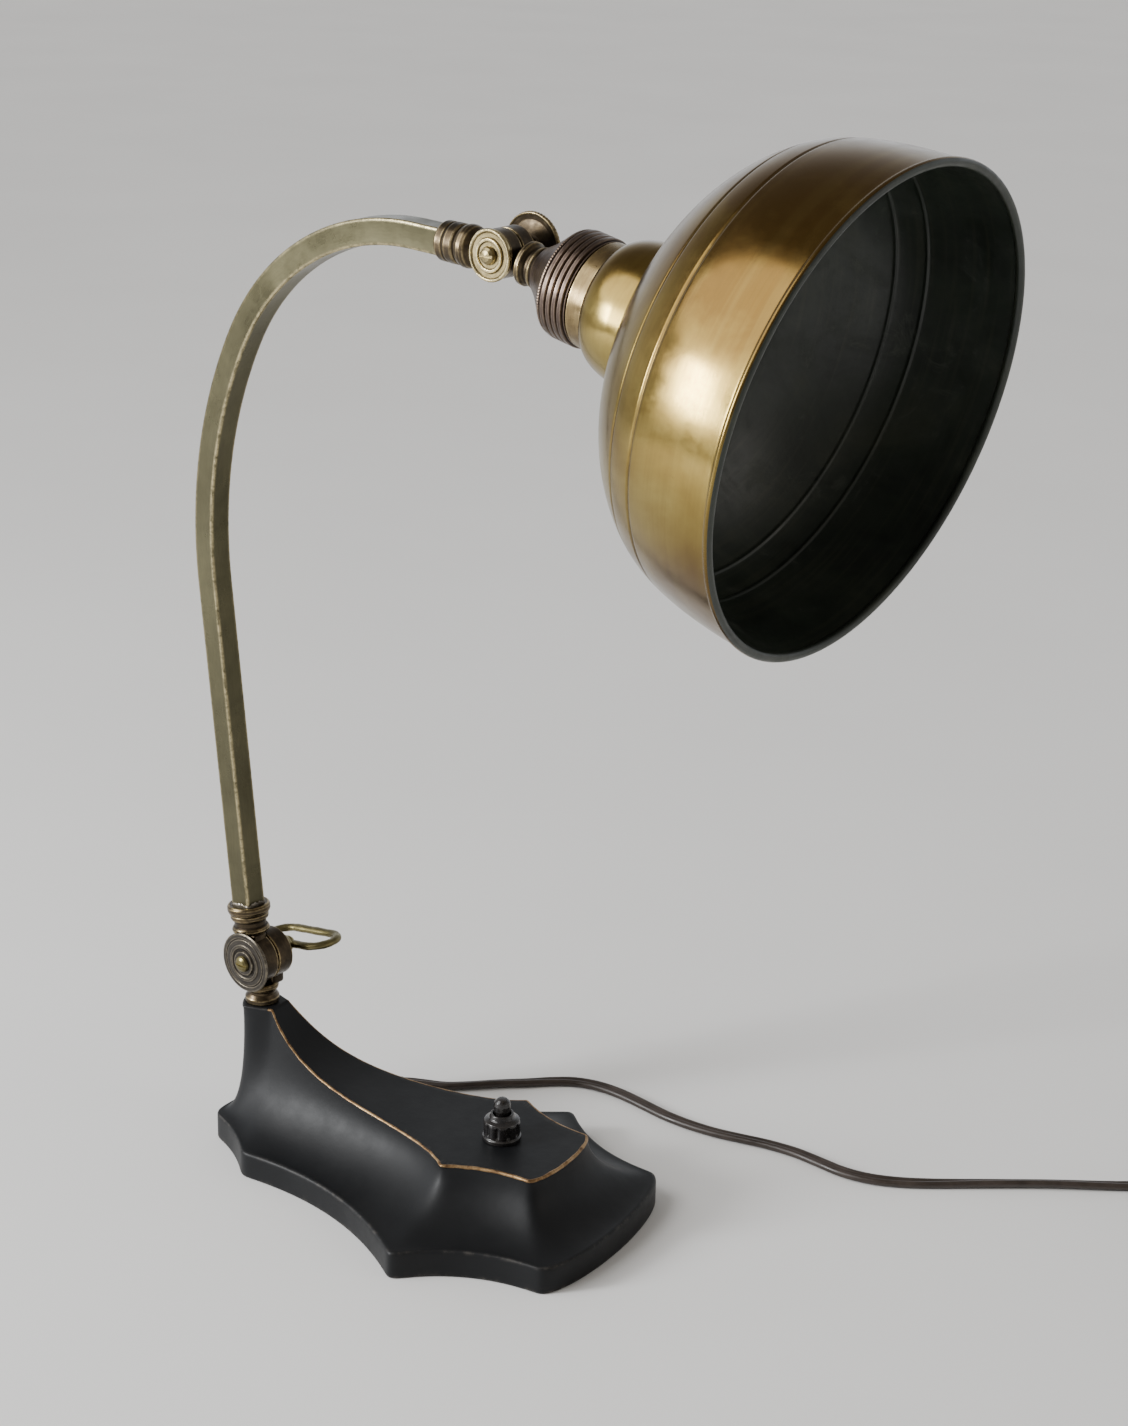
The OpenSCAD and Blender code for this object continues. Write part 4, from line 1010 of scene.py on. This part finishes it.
def arm_stations():
    """The arm's centreline in the tube's frame: across, up, heading, every 2 mm or so."""
    tip1 = (BEND1_R * (1 - cosd(BEND1_A)), ARM_STRAIGHT + BEND1_R * sind(BEND1_A))
    total = BEND1_A + BEND2_A
    rows = [(0.0, z, 0.0) for z in np.arange(0, ARM_STRAIGHT, 2.5)]
    rows += [(BEND1_R * (1 - cosd(a)), ARM_STRAIGHT + BEND1_R * sind(a), a)
             for a in np.linspace(0, BEND1_A, 54)]
    rows += [(tip1[0] + BEND2_R * (cosd(BEND1_A) - cosd(a)), tip1[1] + BEND2_R * (sind(a) - sind(BEND1_A)), a)
             for a in np.linspace(BEND1_A, total, 56)[1:]]
    tip2 = rows[-1]
    rows += [(tip2[0] + d * sind(total), tip2[1] + d * cosd(total), total)
             for d in (3, 6, 9, 12, END_STRAIGHT)]
    return rows


def make_spring():
    """The spring under the button."""
    turns, wire_r, mean_r = 5, 0.35, 3.0
    angles = range(0, 360 * turns + 1, 12)
    out = np.array([(cosd(a), sind(a), 0.0) for a in angles])
    rise = np.linspace(wire_r, SPRING_L - wire_r, len(out))
    line = out * mean_r + np.array([0, 0, 1.0]) * rise[:, None]
    round_wire = np.array([(wire_r * cosd(a), wire_r * sind(a)) for a in range(0, 360, 30)])
    b = Build()
    b.sweep(line, out, [(0, 0, 1.0)] * len(out), round_wire, at=shift(SWITCH_X, 0, SPRING_Z))
    spring = b.make("coil_spring", "zinc_steel", "base", stands_for=("switch_spring",),
           sharp=60)
    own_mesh(spring)


def tube_section(side, radius):
    """A square with rounded corners and faces a hair hollow, and how worn each point is."""
    h = side / 2
    points, worn = [], []
    for q in range(4):
        corner = np.array([cosd(45 + 90 * q), sind(45 + 90 * q)]) * math.sqrt(2) * (h - radius)
        for a in (0, 22.5, 45, 67.5, 90):
            points.append(corner + radius * np.array([cosd(90 * q + a), sind(90 * q + a)]))
            worn.append(0.35 if a in (0, 90) else 1.0)
        here = points[-1]
        nxt = np.array([cosd(135 + 90 * q), sind(135 + 90 * q)]) * math.sqrt(2) * (h - radius)
        there = nxt + radius * np.array([cosd(90 * (q + 1)), sind(90 * (q + 1))])
        inward = -np.array([cosd(90 * (q + 1)), sind(90 * (q + 1))])
        for t in (0.08, 0.25, 0.5, 0.75, 0.92):
            points.append(here + (there - here) * t + inward * 0.07 * 4 * t * (1 - t))
            worn.append(0.0)
    return np.array(points), np.array(worn)


def make_arm():
    rows = arm_stations()
    centres = [(x, 0, z) for x, z, _ in rows]
    sides = [(cosd(a), 0, -sind(a)) for _, _, a in rows]
    ups = [(0, 1, 0)] * len(rows)
    section, worn = tube_section(TUBE_W - 0.1, 0.85)
    b = Build()
    b.sweep(centres, sides, ups, section, wear=worn)
    b.make("arm_bar", "aged_arm_brass", "arm", at=AT_TUBE, stands_for=("arm_tube",), sharp=40)
    make_solder()


def make_solder():
    """Lumpy solder in the angle between the tube and its two collars."""
    rng = random.Random(7)
    n, up_rows = 72, 7
    top = AT_TUBE_END @ shift(0, 0, PIVOT_REACH) @ FLIP_Z
    for name, at, level, r_out in (("solder_low", AT_TUBE, 6.25, 7.6), ("solder_top", top, 25.35, 6.7)):
        lump = [rng.uniform(-1, 1) for _ in range(n)]
        lump = [sum(lump[(i + k) % n] for k in range(-3, 4)) / 4 for i in range(n)]
        rows = []
        h = TUBE_W / 2 - 0.12
        for i in range(n):
            a = 360 * i / n
            c, s = cosd(a), sind(a)
            square = min(h / max(abs(c), abs(s)), h * 1.38)
            out = r_out + 0.25 * lump[i]
            tall = 1.1 + 0.7 * lump[(i * 5) % n]
            for t in range(up_rows):
                u = t / (up_rows - 1)
                r = out * (1 - u) ** 1.6 + square * (1 - (1 - u) ** 1.6)
                z = level + tall * u ** 2.2 + 0.12 * lump[(i * 3 + t * 11) % n] - 0.15 * (t == 0)
                rows.append((r * c, r * s, z))
        b = Build()
        b.add(rows, flipped(grid_faces(n, up_rows, loop=True, wrap=False)))
        b.make(name, "solder", "arm", at=at, sharp=75)


def barrel(b, r, half, at, chamfer):
    b.lathe([(0, FACE), (r, FACE), (r, half - chamfer), (r - chamfer, half), (0, half)], at=at,
            radius=0.35, segs=96)


def clearing(pivot_z, barrel_r, disc_r, half):
    """For carve: keeps an arm's joint half clear of the disc outside it and of the other half."""
    def clear(x, y, z):
        r = np.hypot(x, z - pivot_z)
        y = np.where((y < -half) & (r < disc_r), -half, y)
        over = (y > -FACE + 0.05) & (r < barrel_r + 0.4)
        grow = np.where(over, (barrel_r + 0.4) / np.maximum(r, 1e-6), 1.0)
        return x * grow, y, pivot_z + (z - pivot_z) * grow
    return clear


def make_lower_joint():
    foot = Build()
    foot.lathe([(0, 13), (4.05, 13), (4.05, NECK_H), (6.9, NECK_H), (7.2, 60.6), (7.2, 62.3),
                (6.6, 63.2), (6.0, 64.2), (6.0, 65.6), (6.8, 66.2), (7.1, 67.2), (6.8, 68.3),
                (6.2, 68.9), (0, 68.9)], radius=0.4, segs=96)
    foot.block((-5.8, FACE, 67.6), (5.8, HALF_L - 1, 77), 1.3)
    barrel(foot, LOW_R, HALF_L, shift(0, 0, LOW_PIVOT_Z) @ FAR, 0.7)
    foot.make("foot_stem", "dark_bronze", "base", at=AT_ARM, stands_for=("lower_foot",), sharp=40)

    to_tube = AT_ARM.inverted() @ AT_TUBE
    half = Build()
    barrel(half, LOW_R, HALF_L, shift(0, 0, LOW_PIVOT_Z) @ NEAR, 0.7)
    half.block((-7, -HALF_L + 1, 84), (4, -FACE, 93), 1.2)
    half.lathe([(0, -0.6), (6.6, -0.6), (7.5, 0.2), (7.9, 1.2), (7.5, 2.2), (6.7, 2.9), (6.7, 5.2),
                (7.7, 5.8), (8, 6.4), (8, 7.8), (7.7, 8.2), (8.6, 8.8), (9, 9.8), (9, 11.4),
                (8.4, 12.3), (0, 12.3)], at=to_tube @ shift(0, 0, -6), radius=0.45, steps=5, segs=128)
    half.carve(clearing(LOW_PIVOT_Z, LOW_R, LOW_DISC_R + 0.35, HALF_L))
    half.make("arm_knuckle", "dark_bronze", "arm", at=AT_ARM, stands_for=("lower_arm_half",), sharp=40)

    disc = [(2.55, HALF_L + 0.05), (12.5, HALF_L + 0.05), (13, 9.1), (13, 9.6), (12.5, 9.95),
            (10.9, 10.02), (10.7, 9.85), (10.4, 9.85), (10.2, 10.08), (8.3, 10.2), (7.9, 10.6),
            (6.8, 10.6), (6.4, 10.15), (5.5, 10.15), (5.1, 10.9), (2.55, 10.9)]
    turned("low_face_disc", "gunmetal_bronze", "base", disc, AT_LOW @ NEAR, ("lower_disc",), 40,
           radius=0.16, segs=128)
    make_loop_key()


def make_loop_key():
    wire_r, long_half, bend_r, hub_end = 1.75, 10.0, 8.0, 14.6
    mid_y = hub_end + wire_r - 0.6 + bend_r
    b = Build()
    rng = random.Random(3)
    lumps = [(rng.uniform(0, 6.28), rng.randint(2, 5)) for _ in range(4)]

    def lumpy(r, z, a):
        if r < 3.0 or z < 10.2:
            return 0.0
        return 0.16 * sum(np.sin(k * a + p + z * 0.9) for p, k in lumps) / 2

    b.lathe([(2.55, 14.1), (2.55, HALF_L + 0.05), (6.4, HALF_L + 0.05), (6.4, 10.6), (5.2, 11.4),
             (4.6, 13), (4, hub_end), (0, hub_end + 0.4), (0, 14.1)], at=FAR, radius=0.45, segs=72,
            wobble=lumpy)
    points = []
    for way in (1, -1):
        points += [(way * (2 * long_half * k / 14 - long_half), -way * bend_r, 0) for k in range(14)]
        points += [(way * (long_half + bend_r * sind(180 * k / 24)), -way * bend_r * cosd(180 * k / 24), 0)
                   for k in range(24)]
    n = len(points)
    pts = np.array(points, float)
    head = unit(np.roll(pts, -1, 0) - np.roll(pts, 1, 0))
    up = np.array([[0, 0, 1.0]] * n)
    side = np.cross(head, up)
    sections = []
    for i in range(n):
        k = 1 + 0.035 * math.sin(i * 0.9) + 0.02 * math.sin(i * 2.3 + 1)
        sections.append(np.array([(wire_r * 1.2 * k * cosd(a), wire_r * 0.92 * k * sind(a))
                                  for a in range(0, 360, 20)]))
    b.sweep(pts, side, up, sections, closed=True, at=turn("Y", -10) @ shift(0, mid_y, 0))
    b.lathe([(0, -2.2), (2.3, -2.2), (3.3, -0.6), (3.2, 0.8), (2.2, 2.0), (0, 2.2)], radius=0.8, steps=5,
            segs=48, at=turn("Y", -10) @ shift(0, mid_y - bend_r, 0) @ FAR)
    b.make("loop_key", "tarnished_brass", "lower_key", at=AT_LOW, stands_for=("lower_loop_key",), sharp=50)


def make_upper_joint():
    to_end = AT_UP.inverted() @ AT_TUBE_END
    arm = Build()
    barrel(arm, UP_R, HALF_U, NEAR, 0.6)
    arm.lathe([(0, 6), (5.4, 7.5), (5.6, 9.4), (6.4, 10.4), (7.4, 11.4), (7.8, 12.8), (7.8, 14.2),
               (7.3, 15.6), (6.6, 16.3), (7.2, 16.9), (7.4, 17.6), (7.4, 20.4), (7, 21.4), (7.3, 22),
               (7.3, 24.6), (6.9, 25.4), (0, 25.4)], at=to_end @ shift(0, 0, PIVOT_REACH) @ FLIP_Z,
              radius=0.5, steps=5, segs=128)
    arm.carve(clearing(0, UP_R, UP_DISC_R + 0.05, HALF_U))
    arm.make("arm_end_knuckle", "dark_bronze", "arm", at=AT_UP, stands_for=("upper_arm_half",), sharp=40)

    disc = [(2.15, HALF_U), (8.95, HALF_U), (9.35, 7.4), (9.35, 8.3), (8.95, 8.75), (8.4, 8.75),
            (7.9, 8.1), (6.2, 8.1), (5.9, 8.95), (5.0, 8.95), (4.7, 8.35), (2.15, 8.35)]
    turned("up_face_disc", "bright_brass", "arm", disc, AT_UP @ NEAR, ("upper_disc",), 45,
           radius=0.22, steps=5, segs=128)

    head = Build()
    barrel(head, UP_R, HALF_U, FAR, 0.6)
    to_head = turn("Y", 90 + HEAD_TILT)
    head.lathe([(0, 9.3), (6, 9.3), (7.2, 10.2), (8, 11.2), (8, 12.6), (7.1, 13.6), (6.4, 14.2),
                (6.4, 15.4), (7.4, 16), (7.6, 16.8), (7.2, 17.8), (7.6, 18.4), (7.6, 19), (6, 19),
                (6, 24), (0, 24)], at=to_head, radius=0.4, steps=5, segs=112)
    head.block((-5.5, FACE, 4), (5.5, HALF_U - 1, 11), 1.2, at=to_head)
    head.make("head_knuckle", "dark_bronze", "head", at=AT_UP, stands_for=("upper_head_half",), sharp=40)

    def milled(r, z, a):
        return -0.16 * (0.5 + 0.5 * np.cos(a * 56)) if r > 12.2 else 0.0

    wheel = [(2.15, 12.2), (2.15, HALF_U + 0.05), (5.2, HALF_U + 0.05), (5.2, 8.4), (3.9, 9.4),
             (3.9, 13.6), (4.6, 14.3), (9.6, 14.9), (11.3, 14.75), (12, 14.4), (12.5, 14.9),
             (12.5, 15.9), (11.8, 16.4), (10.6, 15.9), (6, 16.1), (5.4, 16.5), (2, 16.75), (0, 16.8),
             (0, 12.2)]
    turned("thumb_wheel", "dark_bronze", "upper_wheel", wheel, AT_UP @ FAR, ("upper_thumb_wheel",), 45,
           radius=0.3, segs=288, wobble=milled)


# ---------------------------------------------------------------- socket and shade


def make_socket():
    ribs, pitch, first, rib_half = 4, 2.5, 33.0, 0.75
    groove = 18.9
    profile = [(6.05, 19), (8.6, 19), (9.4, 20.2), (11.4, 23), (14.2, 26.2), (17, 29.2), (18.6, 31),
               (19.3, 31.5), (19.35, 32.25), (groove, 32.6)]
    for i in range(ribs):
        z = first + i * pitch
        profile += [(groove, z), (19.75, z + rib_half * 0.5), (19.75, z + rib_half * 2.6),
                    (groove, z + rib_half * 3.1)]
    profile += [(groove, 43.5), (17.9, 43.5), (17.9, 33), (13, 27.5), (9, 23.6), (6.05, 22.5)]

    def coined(r, z, a):
        return -0.22 * (0.5 + 0.5 * np.cos(a * 110)) if r > 19.0 and 31.3 < z < 32.5 else 0.0

    cap = Build()
    cap.lathe(profile, radius=0.35, steps=4, segs=440, wobble=coined, fine=(18.9, 26.3, 0.3))
    v = np.array(cap.verts)
    out = np.array([cosd(WELL_TURN), sind(WELL_TURN), 0.0])
    along = v @ out
    off = np.hypot(v @ np.array([-sind(WELL_TURN), cosd(WELL_TURN), 0.0]), v[:, 2] - WELL_Z)
    well = (off < WELL_R) & (along > WELL_FROM)
    rim = (off < WELL_DIRT_R) & (along > WELL_FROM)
    v[well] -= out * (along[well] - WELL_FLOOR)[:, None]
    cap.verts = v.tolist()
    cap.dirt = np.where(rim, np.where(well, 1.0, 0.6), cap.dirt).tolist()
    cap.make("cap_dome", "purple_bronze", "head", at=AT_HEAD, stands_for=("socket_cap",), sharp=45)
    shell = [(17, 34), (17.6, 34), (17.6, 43.6), (18.7, 43.9), (19, 44.3), (19, 50.35), (18.86, 50.5),
             (19, 50.65), (19, 64), (18.4, 64), (18.4, 45.3), (17, 44.6)]
    turned("shell_tube", "shell_brass", "head", shell, AT_HEAD, ("socket_shell",), 45, radius=0.12,
           segs=160)


BOWL_PARTS = (((20.7, 51.5), (23.2, 53), (25.2, 57.5), (25.8, 66), 30),
              ((25.8, 66), (25.8, 70), (25.8, 76), (25.8, 80), 12),
              ((25.8, 80), (25.8, 81.2), (26.6, 82), (27.8, 82.1), 10),
              ((27.8, 82.1), (46, 83), (66.5, 94), (76.3, 112), 110),
              ((76.3, 112), (81.5, 121), (84.2, 138), (MOUTH_R, MOUTH_H), 90))
GROOVES = ((76.3, 112), (80.3, 122.4))


def bowl_line():
    """The bowl's outer line and its outward normals, neck to lip."""
    points = [bezier(*part[:4], t) for part in BOWL_PARTS for t in np.arange(part[4]) / part[4]]
    points.append(np.array([MOUTH_R, MOUTH_H - 1.2]))
    points = np.array([p for p in points if p[1] < MOUTH_H - 1.3] + [points[-1]])
    ahead = np.gradient(points, axis=0)
    return points, unit(np.column_stack([ahead[:, 1], -ahead[:, 0]]))


def make_shade():
    points, normal = bowl_line()
    dip = np.zeros(len(points))
    for g in GROOVES:
        far = np.linalg.norm(points - np.array(g), axis=1)
        dip = np.maximum(dip, np.exp(-(far / 0.42) ** 2))
    outer = points - normal * dip[:, None] * 0.42
    inner = points - normal * (SHADE_T + 0.55 * dip[:, None])
    lip = np.array([MOUTH_R - LIP_R + 0.8, MOUTH_H - 0.2])
    roll = [lip + LIP_R * np.array([cosd(a), sind(a)]) for a in range(-20, 231, 10)]

    skin = Build()
    rows = [(BOWL_HOLE_R, 51.5)] + [tuple(p) for p in outer] + [tuple(p) for p in roll[:6]]
    skin.lathe(rows, radius=0, segs=BOWL_SEGS, closed=False)
    dirt = np.concatenate([[0.3], np.clip(dip * 1.3, 0, 1), [0.3] * 6])
    skin.dirt = np.repeat(dirt, BOWL_SEGS).tolist()
    skin.make("shade_skin", "shade_brass", "head", at=AT_HEAD, stands_for=("shade",), sharp=80)
    turn_outward("shade_skin", True)

    lining = Build()
    rows = [tuple(p) for p in roll[5:]] + [tuple(p) for p in inner[::-1]] + [(BOWL_HOLE_R, 52.5)]
    lining.lathe(rows, radius=0, segs=BOWL_SEGS, closed=False)
    worn = np.concatenate([[1.0] * len(roll[5:]), 0.25 * np.clip(1 - np.arange(len(inner)) / 8, 0, 1), [0]])
    lining.wear = np.repeat(worn, BOWL_SEGS).tolist()
    lining.make("shade_lining", "shade_paint", "head", at=AT_HEAD, sharp=80)
    turn_outward("shade_lining", False)

    ring = [(BOWL_HOLE_R, 52.55), (20.0, 52.55), (20.0, 56.5), (BOWL_HOLE_R, 56.5)]
    turned("holding_ring", "shell_brass", "head", ring, AT_HEAD, ("shade_ring",), 32, radius=0.2,
           segs=160)


def turn_outward(name, outward):
    """Faces of the bowl's open skins look away from its axis, or towards it."""
    mesh = bpy.data.objects[name].data
    mid = mesh.polygons[len(mesh.polygons) // 2]
    axis = AT_HEAD.to_3x3() @ Vector((0, 0, 1))
    radial = mid.center - AT_HEAD.translation
    radial = radial - axis * radial.dot(axis)
    if (mid.normal.dot(radial) > 0) != outward:
        mesh.flip_normals()


# ---------------------------------------------------------------- CAD nodes that stay


KEPT = {
    "bottom_plate": "blued_steel", "felt_pad": "green_felt", "plate_screws": "zinc_steel",
    "cord_bushing": "black_bakelite", "switch_body": "black_bakelite",
    "switch_terminals": "plain_brass", "base_leads": "wire_insulation",
    "foot_washer": "zinc_steel", "foot_nut": "zinc_steel", "lower_pivot_screw": "tarnished_brass",
    "lower_friction_washer": "brown_fibre", "arm_leads": "wire_insulation",
    "upper_pivot_screw": "bright_brass", "upper_friction_washer": "brown_fibre",
    "cap_set_screw": "blued_steel", "socket_liner": "brown_fibre",
    "socket_insulator": "glazed_porcelain", "socket_screw_shell": "plain_brass",
    "socket_contact": "plain_brass", "head_leads": "wire_insulation", "plug_blades": "plain_brass",
}
SOFT_EDGES = {"lower_pivot_screw": 0.12, "upper_pivot_screw": 0.12, "cord_bushing": 0.2,
              "plate_screws": 0.12, "plug_blades": 0.25, "foot_nut": 0.2, "socket_screw_shell": 0.1,
              "cap_set_screw": 0.06}


def dress_kept_nodes():
    for name, look in KEPT.items():
        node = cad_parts[name]
        node.data.materials.clear()
        node.data.materials.append(LOOKS[look])
        if name in SOFT_EDGES:
            bevel = node.modifiers.new("soft_edges", "BEVEL")
            bevel.width = SOFT_EDGES[name] * MM
            bevel.segments = 2
            bevel.limit_method = "ANGLE"
            bevel.angle_limit = math.radians(40)
            bevel.harden_normals = True


# ---------------------------------------------------------------- light and floor


def add_light(name, kind, power, direction, place=(0, 0, 0), **settings):
    data = bpy.data.lights.new(name, kind)
    data.energy = power
    for key, value in settings.items():
        setattr(data, key, value)
    light = bpy.data.objects.new(name, data)
    bpy.context.scene.collection.objects.link(light)
    light.location = place
    light.rotation_mode = "QUATERNION"
    light.rotation_quaternion = Vector(direction).to_track_quat("-Z", "Y")


def make_world():
    """A plain room for the brass to mirror: pale walls, darker behind the camera and overhead."""
    world = bpy.data.worlds.new("room")
    bpy.context.scene.world = world
    s = Nodes(world)
    out = s.node("OutputWorld")
    back = s.node("Background")
    place = s.node("TexCoord").outputs["Generated"]
    across = s.node("VectorMath", operation="DOT_PRODUCT")
    s.put(across.inputs[0], place)
    s.put(across.inputs[1], (-0.62, 0.78, 0.0))
    walls = s.node("MapRange", data_type="FLOAT_VECTOR", interpolation_type="SMOOTHSTEP")
    s.put(walls.inputs["Vector"], across.outputs["Value"])
    for key, value in (("From_Min_FLOAT3", (-0.75,) * 3), ("From_Max_FLOAT3", (0.7,) * 3),
                       ("To_Min_FLOAT3", (0.26, 0.24, 0.22)), ("To_Max_FLOAT3", (1.05, 1.09, 1.14))):
        s.put(next(k for k in walls.inputs if k.identifier == key), value)
    split = s.node("SeparateXYZ")
    s.put(split.inputs[0], place)
    high = s.node("MapRange", interpolation_type="SMOOTHSTEP")
    for key, value in (("Value", split.outputs["Z"]), ("From Min", 0.2), ("From Max", 0.75)):
        s.put(high.inputs[key], value)
    mixed = s.node("Mix", data_type="RGBA")
    for index, value in ((0, high.outputs[0]), (6, walls.outputs["Vector"]), (7, (0.30, 0.28, 0.255))):
        s.put(mixed.inputs[index], value)
    s.put(back.inputs["Color"], mixed.outputs[2])
    s.put(out.inputs[0], back.outputs[0])


def make_floor():
    s = Shader("floor")
    broad = s.noise(s.mm, 0.004, 3.0, 0.5)
    fine = s.noise(s.mm, 0.6, 5.0, 0.6)
    colour = s.tones(broad, [(0.3, (0.80, 0.795, 0.785)), (0.7, (0.83, 0.825, 0.815))])
    material = s.finish(colour, s.steps(fine, 0.3, 0.7, 0.75, 0.85), s.bump(fine, 0.02, 0.4))
    bm = bmesh.new()
    bmesh.ops.create_grid(bm, x_segments=24, y_segments=24, size=14)
    mesh = bpy.data.meshes.new("floor")
    bm.to_mesh(mesh)
    bm.free()
    mesh.materials.append(material)
    floor = bpy.data.objects.new("floor", mesh)
    bpy.context.scene.collection.objects.link(floor)
    floor.location.z = -0.0002


def make_lights():
    middle = Vector((0.06, -0.02, 0.26))
    for name, place, size, size_y, power, colour in (
            ("window", (-0.98, -1.12, 0.60), 0.26, 0.5, 29, (0.97, 0.985, 1.0)),
            ("right_fill", (1.5, 0.3, 0.7), 0.7, 0.9, 2.5, (1.0, 0.95, 0.88))):
        add_light(name, "AREA", power, middle - Vector(place), place, shape="RECTANGLE", size=size,
                  size_y=size_y, color=colour)
    add_light("soft_day", "SUN", 2.1, (0.55, 0.55, -0.63), angle=math.radians(45))


make_camera()
make_cord()
make_casting()
make_switch()
make_spring()
make_arm()
make_lower_joint()
make_upper_joint()
make_socket()
make_shade()
dress_kept_nodes()
make_world()
make_floor()
make_lights()
